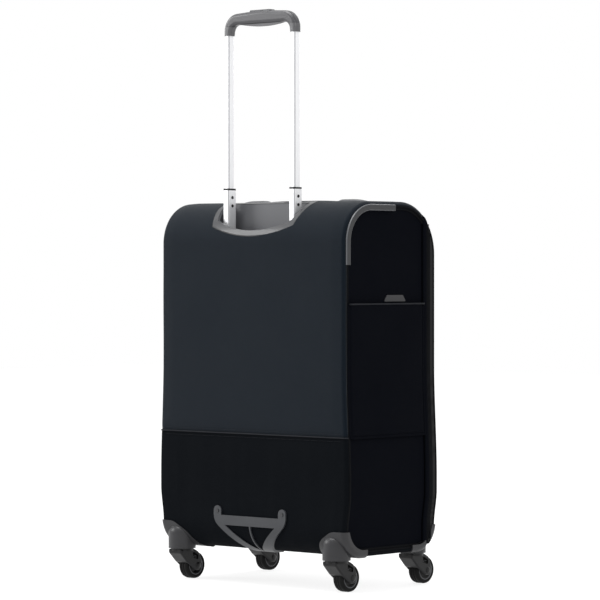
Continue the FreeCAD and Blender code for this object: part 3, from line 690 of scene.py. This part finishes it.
def make_wraps():
    wrap_piece("back_and_top", "woven_navy",
               lambda p: behind_rim(p) and p[1] > BAND, ["upper_wrap"], back_lift,
               hole=lambda x, y, z: in_well(x, y, z, 0.004))
    wrap_piece("lower_band", "band_fabric",
               lambda p: behind_rim(p) and p[1] <= BAND + 0.003, ["lower_wrap"], band_lift,
               hole=near_caster)


def side_sheet(name, sign, node_name, lift):
    """Flat side cloth, slightly puffed between the piping."""
    bm = bmesh.new()
    step = 0.004
    rows = int((TOP - BASE) / step)
    columns = int((REAR - RIM_REAR) / step) + 1
    grid = {}
    for i in range(columns + 1):
        for k in range(rows + 1):
            y, z = RIM_REAR - 0.001 + i * step, BASE + k * step
            if inside_outline(y, z, EDGE_RETURN - 0.001):
                grid[i, k] = bm.verts.new((sign * (PANEL_X + lift(y, z)), y, z))
    for (i, k), vert in list(grid.items()):
        corners = [grid.get(key) for key in ((i, k), (i + 1, k), (i + 1, k + 1), (i, k + 1))]
        if all(corners):
            bm.faces.new(corners)
    item = finish_mesh(name, bm, "black_fabric", "case", [node_name],
                       inner="side_lining", soft=True)
    face_sideways(item, sign)
    thicken(item, CLOTH, inner=True)


def edge_distance(y, z):
    """Rough distance from the side outline."""
    low = 0.0
    for inset in (0.004, 0.008, 0.012, 0.018, 0.025, 0.035, 0.05):
        if not inside_outline(y, z, inset):
            break
        low = inset
    return min(low, y - RIM_REAR)


def side_lift(seed):
    """How far a side cloth bulges, for one side."""
    def lift(y, z):
        edge = edge_distance(y, z)
        return puff(edge - EDGE_RETURN, 0.035, 0.0022) + 0.0005 * ripple(seed, y, z, 10, seed)
    return lift


def make_sides():
    side_sheet("side_cloth_left", 1, "side_panel_left", side_lift(2.0))
    side_sheet("side_cloth_right", -1, "side_panel_right", lambda y, z: 0.0)
    pocket_cloth()


def pocket_cloth():
    """Side pocket with a welt along its open top and a gusset down its other edges."""
    low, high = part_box("side_pocket")
    outer = low.x
    bm = bmesh.new()
    grid = []
    for z in steps(low.z, high.z, 76):
        line = []
        for y in steps(low.y, high.y, 68):
            edge = min(y - low.y, high.y - y, z - low.z)
            out = puff(edge, PUFF_REACH, 0.0012) + 0.0005 * ripple(1, y, z, 12, 5) * smooth(edge / 0.02)
            curl = 0.0030 * (1 - smooth(edge / 0.006))
            line.append(bm.verts.new((outer - out + curl, y, z)))
        grid.append(line)
    skin(bm, grid)
    item = finish_mesh("side_pocket_cloth", bm, "black_fabric", "case", ["side_pocket"],
                       soft=True)
    face_sideways(item, -1)
    thicken(item, POCKET_CLOTH)
    mouth = [Vector((outer - 0.0006, y, high.z)) for y in steps(low.y, high.y, 30)]
    cord("side_pocket_welt", mouth, 0.0016, "thread", "case", "piping", soft=False, squash=0.9)
    edge = ([(low.y, z) for z in steps(high.z, low.z, 20)]
            + [(y, low.z) for y in steps(low.y, high.y, 20)[1:]]
            + [(high.y, z) for z in steps(low.z, high.z, 20)[1:]])
    cord("side_pocket_gusset", [Vector((outer + 0.003, y, z)) for y, z in edge], 0.0024,
         "black_fabric", "case", "black_fabric", squash=1.2)


def beside(inset, x):
    """Points along the case's outline, inset, at one side."""
    path = stretch(outline(-inset), lambda p: p[0] > RIM_REAR - 0.001)
    return [Vector((x, y, z)) for y, z, ny, nz in path]


def make_piping():
    """Cord piping beside the turned-in sheet, and a flat binding inside it."""
    for side, sign in (("left", 1), ("right", -1)):
        cord("piping_cord_" + side, beside(EDGE_RETURN + EDGE_CORD, sign * (HALF - 0.0018)), EDGE_CORD,
             "piping", "case", "piping", ["edge_piping"] if sign > 0 else (), sides=12)
        cord("piping_binding_" + side, beside(EDGE_RETURN + 0.0055, sign * (PANEL_X + 0.0008)), THIN_CORD,
             "piping", "case", "piping", squash=1.6)


def stitches(name, points, body, length=0.0032, gap=0.0014, radius=0.00032):
    """Row of short threads along a line."""
    bm = bmesh.new()
    distance = 0.0
    start = 0.0
    for first, second in zip(points, points[1:]):
        run = (second - first).length
        while start + length < distance + run:
            a = first.lerp(second, (start - distance) / run)
            b = first.lerp(second, (start + length - distance) / run)
            rounded_stitch(bm, a, b, radius)
            start += length + gap
        distance += run
        start = max(start, distance)
    finish_mesh(name, bm, "thread", body, soft=True)


def rounded_stitch(bm, a, b, radius):
    """One thread from a to b with tapered ends."""
    along = b - a
    middle = [a + along * t for t in (0, 0.15, 0.85, 1)]
    rings = []
    side = along.normalized().orthogonal().normalized()
    other = along.normalized().cross(side)
    for point, size in zip(middle, (0.3, 1.0, 1.0, 0.3)):
        rings.append([bm.verts.new(point + (side * math.cos(t) + other * math.sin(t)) * radius * size)
                      for t in (math.pi / 3 * k for k in range(6))])
    skin(bm, rings, closed=True)
    cap_ends(bm, rings)


def make_seams():
    """Folded seam between the two back fabrics, with its stitching, and seams on the sides."""
    line = [Vector((x + nx * 0.0004, REAR + 0.0004 - inset, BAND)) for x, inset, nx in across_case()]
    cord("band_seam", line, SEAM_CORD, "thread", "case", "piping", squash=1.2, up=Vector((0, 0, 1)))
    for name, drop in (("band_stitch_upper", 0.006), ("band_stitch_lower", -0.006)):
        flat = [p + Vector((0, 0.0004, drop)) for p in line if abs(p.x) < HALF - EDGE_RADIUS]
        stitches(name, flat, "case")
    low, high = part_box("side_panel_left")
    for sign, side in ((1, "left"), (-1, "right")):
        x = sign * (PANEL_X + 0.0012)
        heights = (BAND,) if sign < 0 else (BAND, UPPER_SEAM)
        for number, height in enumerate(heights):
            run = [Vector((x, y, height - 0.001)) for y in steps(low.y + 0.002, high.y - 0.004, 30)]
            cord("side_seam_%s_%d" % (side, number), run, SEAM_CORD, "thread", "case", "piping", squash=1.3)


def make_gasket():
    """Dark seal that follows the lower edge of the handle well's lip over the cloth."""
    reach = LIP + 0.0012
    points = []
    for share in steps(-1, 1, 80):
        x = share * (WELL_HALF + reach)
        z = smile_height(x, reach)
        drop = max(0.0, z - (TOP - R_REAR_TOP))
        y = REAR - R_REAR_TOP + math.sqrt(R_REAR_TOP ** 2 - drop ** 2)
        points.append(Vector((x, y, z)))
    cord("well_gasket", points, 0.0014, "gasket", "case", "black_plastic", soft=False,
         sides=8, up=Vector((0, 1, 0)))


def rim_cloth():
    """Padded cloth band round the mouth of the case."""
    sections = ((SEAM + 0.0004, -0.0004), (SEAM + 0.002, 0.0004), (SEAM + 0.006, 0.0009),
                (RIM_REAR - 0.001, 0.0002), (RIM_REAR + 0.001, -0.0018), (RIM_REAR - 0.001, -0.0045),
                (SEAM + 0.0010, -0.0045))
    bm = bmesh.new()
    rings = [[bm.verts.new(p) for p in mouth_path(y, grow)] for y, grow in sections]
    skin(bm, rings + rings[:1], closed=True)
    finish_mesh("mouth_rim", bm, "black_fabric", "case", ["front_rim"], soft=True)


def mouth_path(y, grow):
    """Closed loop round the whole mouth at one depth."""
    half = rim_path(y, grow)
    middle = [p for p in half if p.x > 0]
    return middle + [Vector((-p.x, p.y, p.z)) for p in reversed(middle)]


def padded_mounts(name, node_name, axis, lift):
    """Low rounded humps that hold the ends of a carry handle."""
    low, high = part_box(node_name)
    across = 3 - axis - lift
    middle = (low + high) / 2
    bm = bmesh.new()
    for sign in (1, -1):
        inner, outer = 0.084 * sign, sign * (high[axis] - low[axis]) / 2
        top, flat = [], []
        for t in steps(0, 1, 26):
            wide = (1 - 0.10 * t) * (high[across] - low[across]) / 2
            end = smooth(t / 0.16) * (1 - smooth((t - 0.45) / 0.55)) ** 0.8
            for made, raised in ((top, True), (flat, False)):
                line = []
                for u in steps(-1, 1, 22):
                    side = (1 - abs(u) ** 3.2) ** 0.5
                    height = (high[lift] - low[lift] - 0.0006) * end * side if raised else -0.0012
                    point = Vector((0, 0, 0))
                    point[axis] = middle[axis] + inner + (outer - inner) * t
                    point[across] = middle[across] + u * wide
                    point[lift] = low[lift] + height
                    line.append(bm.verts.new(point))
                made.append(line)
        skin(bm, top)
        skin(bm, flat)
        join_borders(bm, top, flat)
    finish_mesh(name, bm, "mount_vinyl", "case", [node_name], soft=True)


# ------------------------------------------------------------ zip and its rim

def rim_path(y, grow=0.0):
    """Loop across the case at one depth: bottom, free side and top."""
    drop_top = R_FRONT_TOP - math.sqrt(R_FRONT_TOP ** 2 - (FRONT + R_FRONT_TOP - y) ** 2)
    rise = R_FOOT - math.sqrt(R_FOOT ** 2 - (FRONT + R_FOOT - y) ** 2)
    top, base = TOP - drop_top + grow, BASE + rise - grow
    side = HALF + grow
    radius = EDGE_RADIUS + grow
    points = [Vector((-0.198 + 0.0099 * k, y, base)) for k in range(40)]
    points += [Vector((side - radius + radius * math.sin(t), y, base + radius - radius * math.cos(t)))
               for t in steps(0, math.pi / 2, 8)]
    points += [Vector((side, y, z)) for z in steps(base + radius, top - radius, 80)[1:-1]]
    points += [Vector((side - radius + radius * math.cos(t), y, top - radius + radius * math.sin(t)))
               for t in steps(0, math.pi / 2, 8)]
    points += [Vector((0.1881 - 0.0099 * k, y, top)) for k in range(40)]
    return points


def resample(points, step):
    """Evenly spaced (point, direction) pairs along a line."""
    result = []
    carry = 0.0
    for first, second in zip(points, points[1:]):
        run = (second - first).length
        while carry < run:
            result.append((first.lerp(second, carry / run), (second - first).normalized()))
            carry += step
        carry -= run
    return result


def make_zip(name, body, sign, node_name):
    """One half of the main zip: woven tape with moulded teeth along the seam."""
    bm = bmesh.new()
    near = SEAM + sign * 0.0007
    far = SEAM + sign * 0.0062
    edges = [rim_path(near, 0.0006), rim_path(far, 0.0010), rim_path(far, -0.0004), rim_path(near, -0.0004)]
    rings = [[bm.verts.new(p) for p in edge] for edge in edges]
    skin(bm, rings + rings[:1])
    bm.faces.new([ring[0] for ring in rings])
    bm.faces.new([ring[-1] for ring in rings][::-1])
    finish_mesh(name + "_tape", bm, "zip_tape", body, [node_name], soft=True)
    teeth = bmesh.new()
    tooth_line = rim_path(SEAM + sign * 0.0011, 0.0009)
    for point, along in resample(tooth_line, 0.0030):
        if sign < 0:
            point = point + along * 0.0015
        out = along.cross(Vector((0, 1, 0))).normalized()
        across = Vector((0, sign, 0))
        corners = []
        for a in (-0.0008, 0.0008):
            for b in (-0.0005, 0.0016):
                for c in (-0.0003, 0.0007):
                    corners.append(teeth.verts.new(point + along * a + across * b + out * c))
        for quad in ((0, 1, 3, 2), (4, 6, 7, 5), (0, 4, 5, 1), (2, 3, 7, 6), (0, 2, 6, 4), (1, 5, 7, 3)):
            teeth.faces.new([corners[i] for i in quad])
    finish_mesh(name + "_teeth", teeth, "zip_metal", body, smooth=False, soft=True)


def hinge_strip():
    """Cloth hinge down the closed side, spanning the seam between the case and the lid."""
    bm = bmesh.new()
    grid = []
    upright = [p.z for p in rim_path(SEAM - HINGE_REACH) if p.x > HALF - 1e-6]
    for z in steps(upright[0], upright[-1], 80):
        line = []
        for y in steps(SEAM - HINGE_REACH, SEAM + HINGE_REACH, 12):
            bulge = 0.0006 * math.cos((y - SEAM) / (2 * HINGE_REACH) * math.pi)
            line.append(bm.verts.new((-HALF - 0.0003 - bulge, y, z)))
        grid.append(line)
    skin(bm, grid)
    item = finish_mesh("lid_hinge_cloth", bm, "piping", None, soft=True)
    thicken(item, HINGE_CLOTH)
    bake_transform(item)


# ------------------------------------------------------------------------ lid

def close_tray_side(bm, rim, sign):
    """Side wall of the lid, from its rounded edge back to the seam."""
    middle = [bm.verts.new((sign * (HALF - 0.0002), SEAM - 0.0006, v.co.z)) for v in rim]
    rows = [rim]
    for t in (0.25, 0.5, 0.75):
        rows.append([bm.verts.new(a.co.lerp(b.co, t)) for a, b in zip(rim, middle)])
    rows.append(middle)
    for first, second in zip(rows, rows[1:]):
        for k in range(len(rim) - 1):
            width = (first[k].co - second[k].co).length + (first[k + 1].co - second[k + 1].co).length
            if width > 1e-6:
                bm.faces.new((first[k], first[k + 1], second[k + 1], second[k]))


def lid_cloth():
    """Shallow cloth tray that closes the front, with a soft edge."""
    bm = bmesh.new()
    path = stretch(outline(0.0, 0.005), lambda p: p[0] < SEAM - 0.0003)
    grid = []
    for y, z, ny, nz in path:
        line = []
        for x, inset, nx in across_case():
            out = 0.0005 * ripple(x, y, z, 9, 7) * smooth((HALF - abs(x)) / 0.03)
            rise = out * smooth((SEAM - y) / 0.006) - inset
            line.append(bm.verts.new((x, min(y + ny * rise, SEAM - 0.0003), z + nz * rise)))
        grid.append(line)
    skin(bm, grid)
    for column, sign in ((0, -1), (-1, 1)):
        close_tray_side(bm, [line[column] for line in grid], sign)
    bmesh.ops.remove_doubles(bm, verts=bm.verts, dist=1e-5)
    item = finish_mesh("lid_cloth", bm, "lid_fabric", "lid", ["lid_panel"], inner="lining",
                       soft=True)
    if item.data.polygons[len(item.data.polygons) // 2].normal.y > 0:
        item.data.flip_normals()
    thicken(item, CLOTH, inner=True)
    line_sides(item)
    path = stretch(outline(-EDGE_RADIUS), lambda p: p[0] < SEAM - 0.0065)
    for side, sign in (("left", 1), ("right", -1)):
        edge = [Vector((sign * (HALF - 0.0004), y, z)) for y, z, ny, nz in path]
        cord("lid_piping_" + side, edge, THIN_CORD, "piping", "lid", "piping", sides=12)


def line_sides(item):
    """Give the lining on side walls its own weave, whose threads run along those walls."""
    item.data.materials.append(MATS["side_lining"])
    for face in item.data.polygons:
        if face.material_index == 1 and abs(face.normal.x) > 0.7:
            face.material_index = 2


def stuffed_pocket(name, node_name, corner, cap):
    """Zipped pocket: a closed form that a cloth simulation puffs out, by no more than a cap."""
    low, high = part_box(node_name)
    bm = bmesh.new()
    front, back = [], []
    for z in steps(low.z, high.z, 46):
        for layer in (front, back):
            line = []
            for x in steps(low.x, high.x, 62):
                edge = min(x - low.x, high.x - x, z - low.z, high.z - z)
                share = smooth(edge / corner)
                y = high.y + (low.y - high.y) * (0.18 + 0.62 * share) if layer is front else high.y
                line.append(bm.verts.new((x, y, z)))
            layer.append(line)
    skin(bm, front)
    skin(bm, back)
    join_borders(bm, front, back)
    item = finish_mesh(name, bm, "woven_navy", None, soft=True)
    rest = [vert.co.copy() for vert in item.data.vertices]
    simulate(item, [i for i, co in enumerate(rest) if co.y > high.y - 0.0005])
    for vert, before in zip(item.data.vertices, rest):
        move = vert.co - before
        if move.length > cap:
            vert.co = before + move * (cap / move.length)
        vert.co.y = min(vert.co.y, high.y)
    for vert in item.data.vertices:
        if vert.co.y < high.y - 0.001:
            vert.co.y -= 0.0008 * ripple(vert.co.x, 0, vert.co.z * 0.7, 14, 21)
    made = item.modifiers.new("smooth", "SUBSURF")
    made.levels = 1
    apply(item)
    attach(item, "lid")
    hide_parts(node_name)


def simulate(item, pinned):
    """Inflate a closed cloth with gravity off and apply the result."""
    group = item.vertex_groups.new(name="pin")
    group.add(pinned, 1.0, "REPLACE")
    cloth = item.modifiers.new("cloth", "CLOTH")
    settings = cloth.settings
    settings.quality = 6
    settings.use_pressure = True
    settings.uniform_pressure_force = 4.0
    settings.effector_weights.gravity = 0
    settings.vertex_group_mass = "pin"
    cloth.point_cache.frame_start = 1
    cloth.point_cache.frame_end = 20
    for number in range(1, 21):
        scene.frame_set(number)
    apply(item)
    item.vertex_groups.clear()
    scene.frame_set(1)


def pocket_zip(name, node_name):
    """Straight zip: tape with a spiral coil down its middle."""
    low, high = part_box(node_name)
    bm = bmesh.new()
    rounded_block(bm, (low.x, low.y + 0.0004, low.z), (high.x, high.y, high.z), 0.0003, 2)
    finish_mesh(name + "_tape", bm, "zip_tape", "lid", [node_name])
    middle = (low.z + high.z) / 2
    turns = int((high.x - low.x - 0.008) / COIL_PITCH)
    points = []
    for k in range(turns * 6 + 1):
        angle = 2 * math.pi * k / 6
        x = low.x + 0.004 + COIL_PITCH * k / 6
        y = low.y - 0.0002 + 0.0005 * math.sin(angle)
        points.append(Vector((x, y, middle + 0.0016 * math.cos(angle))))
    cord(name + "_coil", points, 0.00035, "zip_metal", "lid", "zip_tape", soft=False,
         sides=5, up=Vector((0, 1, 0)))


# -------------------------------------------------------------- small hardware

def zip_hardware():
    """Sliders with an arched bridge for the pull."""
    arches = [0.0019 * math.sin(math.pi * t) for t in steps(0, 1, 12)]
    for name, body in (("main_slider_upper", "zip_slider_upper"),
                       ("main_slider_lower", "zip_slider_lower"),
                       ("upper_pocket_slider", "pocket_slider_upper"),
                       ("lower_pocket_slider", "pocket_slider_lower")):
        low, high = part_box(name)
        bm = bmesh.new()
        middle = (low + high) / 2
        if name.startswith("main"):
            rounded_block(bm, low, (low.x + 0.0026, high.y, high.z), 0.0009)
            bridge = [Vector((low.x + 0.0022 + arch, middle.y, z))
                      for arch, z in zip(arches, steps(low.z + 0.002, high.z - 0.002, 12))]
            tube(bm, bridge, 0.0007, sides=8, squash=1.6)
        else:
            rounded_block(bm, (low.x, high.y - 0.0026, low.z), high, 0.0009)
            bridge = [Vector((x, high.y - 0.0022 - arch, middle.z))
                      for arch, x in zip(arches, steps(low.x + 0.002, high.x - 0.002, 12))]
            tube(bm, bridge, 0.0007, sides=8, squash=1.6, up=Vector((0, 0, 1)))
        finish_mesh(name + "_body", bm, "zip_metal", body, [name])


# --------------------------------------------------------------- carry handles

def carry_handle(name, node_name, along, out):
    """Padded webbing strap in two halves that grow thicker from their mounts towards the middle."""
    low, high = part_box(node_name)
    axis = "xyz".index(along)
    lift = "xyz".index(out)
    across = 3 - axis - lift
    middle = (low + high) / 2
    for side, sign in (("a", 1), ("b", -1)):
        bm = bmesh.new()
        grid = []
        for t in steps(0, 1, 44):
            grip = smooth((1 - t) / 0.55)
            thick = (high[lift] - low[lift]) / 2 * (0.62 + 0.38 * grip)
            line = []
            for angle in (2 * math.pi * k / 20 for k in range(20)):
                wide = math.copysign(abs(math.cos(angle)) ** 0.5, math.cos(angle))
                tall = math.copysign(abs(math.sin(angle)) ** 0.7, math.sin(angle))
                point = Vector((0, 0, 0))
                point[axis] = middle[axis] + sign * t * ((high[axis] - low[axis]) / 2 + 0.006)
                point[across] = middle[across] + wide * (0.0125 + 0.0025 * grip)
                point[lift] = low[lift] + thick * 1.02 + tall * thick
                line.append(bm.verts.new(point))
            grid.append(line)
        skin(bm, grid, closed=True)
        cap_ends(bm, grid)
        item = finish_mesh("%s_strap_%s" % (name, side), bm, "strap", None, soft=True)
        start, end = Vector(middle), Vector(middle)
        start[axis] += sign * ((high[axis] - low[axis]) / 2 + 0.002)
        end[axis] += sign * 0.02
        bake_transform(item)
        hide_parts(node_name)


# ------------------------------------------------------------------- casters

# Wheel profiles as (share of the wheel's radius, share of its half width).
TREAD = ((0.66, -0.80), (0.80, -1), (0.90, -0.97), (0.97, -0.82), (1, -0.55), (1, -0.30),
         (0.972, -0.26), (0.972, -0.18), (1, -0.14))
BORE = ((0.66, 0.80), (0.66, -0.80))
DISH = ((0.0, 0.55), (0.13, 0.55), (0.15, 0.62), (0.27, 0.62), (0.30, 0.40), (0.52, 0.36),
        (0.58, 0.72), (0.66, 0.80))
# Raised ring on each face of a hub; its light grey colour is a painted highlight along the hub's edge.
RIM_HIGHLIGHT_RING = ((0.66, 0.78), (0.67, 0.90), (0.71, 0.93), (0.73, 0.86), (0.71, 0.78))


def mirrored(profile):
    """A profile followed by its mirror image on the wheel's other face."""
    return list(profile) + [(r, -h) for r, h in reversed(profile)]


def make_wheels():
    for end in ("rear", "front"):
        for side in ("left", "right"):
            make_wheel("%s_%s" % (end, side))


def make_wheel(place):
    """Tyre with a rounded, grooved tread, a dished hub, a raised ring on each face coloured light grey as a
    painted highlight on the hub's edge, and the axle's caps.
    """
    name = "wheel_" + place
    body = "caster_" + name
    low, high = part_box(name)
    centre = (low + high) / 2
    radius = (high.z - low.z) / 2
    half = (high.x - low.x) / 2

    def spin(bm, profile, sign=1):
        lathe(bm, [(radius * r, half * h) for r, h in profile], (sign, 0, 0), centre, 64)

    tyre = bmesh.new()
    spin(tyre, mirrored(TREAD))
    spin(tyre, BORE)
    bmesh.ops.remove_doubles(tyre, verts=tyre.verts, dist=1e-6)
    finish_mesh(name + "_tyre", tyre, "wheel_rubber", body, [name])
    hub = bmesh.new()
    spin(hub, mirrored(DISH))
    finish_mesh(name + "_hub", hub, "black_plastic", body)
    # Light grey rings: a painted highlight along the hub's edges.
    ring = bmesh.new()
    for sign in (1, -1):
        spin(ring, RIM_HIGHLIGHT_RING, sign)
    finish_mesh(name + "_rim_highlight_ring", ring, "grey_plastic", body)
    cap_axle("caster_" + place, name, low, high, centre)


def cap_axle(body, name, low, high, centre):
    """Domed axle caps on both faces of the fork."""
    for number, sign in enumerate((1, -1)):
        bm = bmesh.new()
        face = (high.x - low.x) / 2 + 0.0045
        lathe(bm, [(0.0, face + 0.0018), (0.003, face + 0.0016), (0.0052, face + 0.0008), (0.0058, face),
                   (0.0058, face - 0.001), (0.0, face - 0.001)], (sign, 0, 0), centre, 32)
        finish_mesh("%s_axle_cap_%d" % (name, number), bm, "black_plastic", body)


# --------------------------------------------------------------- scene around

def make_stage():
    """Floor that glows, so that it stays white under the object."""
    bm = bmesh.new()
    size = 9.0
    sides = ((-size, -size), (size, -size), (size, size), (-size, size))
    bm.faces.new([bm.verts.new((x, y, 0)) for x, y in sides])
    mesh = bpy.data.meshes.new("floor")
    bm.to_mesh(mesh)
    bm.free()
    floor = bpy.data.objects.new("floor", mesh)
    scene.collection.objects.link(floor)
    tree, bsdf = shader("floor", (0.22, 0.22, 0.22), 0.8, spec=0.1)
    bsdf.inputs["Emission Color"].default_value = (1, 1, 1, 1)
    bsdf.inputs["Emission Strength"].default_value = 0.82
    mesh.materials.append(MATS["floor"])


def area_light(name, place, target, size, power):
    """Rectangular light that faces a target."""
    data = bpy.data.lights.new(name, "AREA")
    data.shape = "RECTANGLE"
    data.size, data.size_y = size
    data.energy = power
    item = bpy.data.objects.new(name, data)
    item.location = place
    item.rotation_euler = (Vector(target) - Vector(place)).to_track_quat("-Z", "Y").to_euler()
    scene.collection.objects.link(item)


def make_lights():
    world = bpy.data.worlds.new("studio")
    scene.world = world
    world.use_nodes = True
    sky = world.node_tree.nodes["Background"].inputs
    sky["Color"].default_value = (1, 1, 1, 1)
    sky["Strength"].default_value = 1.0
    area_light("key", (3.6, 2.6, 2.0), (0, 0, 0.4), (1.6, 1.6), 90)
    area_light("top", (0.6, 0.9, 3.4), (0, 0, 0.4), (2.0, 2.0), 90)
    area_light("front", (0.8, -3.6, 2.0), (0, 0, 0.4), (2.0, 2.0), 40)
    area_light("side", (-1.9, 0.9, 1.9), (-0.2, 0, 0.6), (0.7, 0.7), 8)


def make_camera():
    data = bpy.data.cameras.new("camera")
    data.lens = 186.5
    data.sensor_width = 36
    data.clip_end = 50
    camera = bpy.data.objects.new("camera", data)
    camera.location = (-3.610, 4.056, 0.5408)
    down = math.radians(0.523)
    look = Vector((0.6649 * math.cos(down), -0.7470 * math.cos(down), -math.sin(down)))
    camera.rotation_euler = look.to_track_quat("-Z", "Y").to_euler()
    scene.collection.objects.link(camera)
    scene.camera = camera
    scene.view_settings.view_transform = "Standard"


# ---------------------------------------------------------------- whole scene

def build():
    make_materials()
    dress_cad()
    make_wraps()
    make_sides()
    make_piping()
    make_seams()
    make_gasket()
    rim_cloth()
    make_zip("zip_case", "case", 1, "zip_tape_case")
    make_zip("zip_lid", "lid", -1, "zip_tape_lid")
    hinge_strip()
    lid_cloth()
    stuffed_pocket("lower_pocket_cloth", "lower_pocket", 0.05, 0.006)
    stuffed_pocket("upper_pocket_cloth", "upper_pocket", 0.02, 0.005)
    pocket_zip("upper_zip", "upper_pocket_zip")
    pocket_zip("lower_zip", "lower_pocket_zip")
    zip_hardware()
    padded_mounts("top_mount_pads", "top_handle_mounts", 0, 2)
    padded_mounts("side_mount_pads", "side_handle_mounts", 2, 0)
    carry_handle("top_carry", "top_handle", "x", "z")
    carry_handle("side_carry", "side_handle", "z", "x")
    make_wheels()
    make_stage()
    make_lights()
    make_camera()


build()
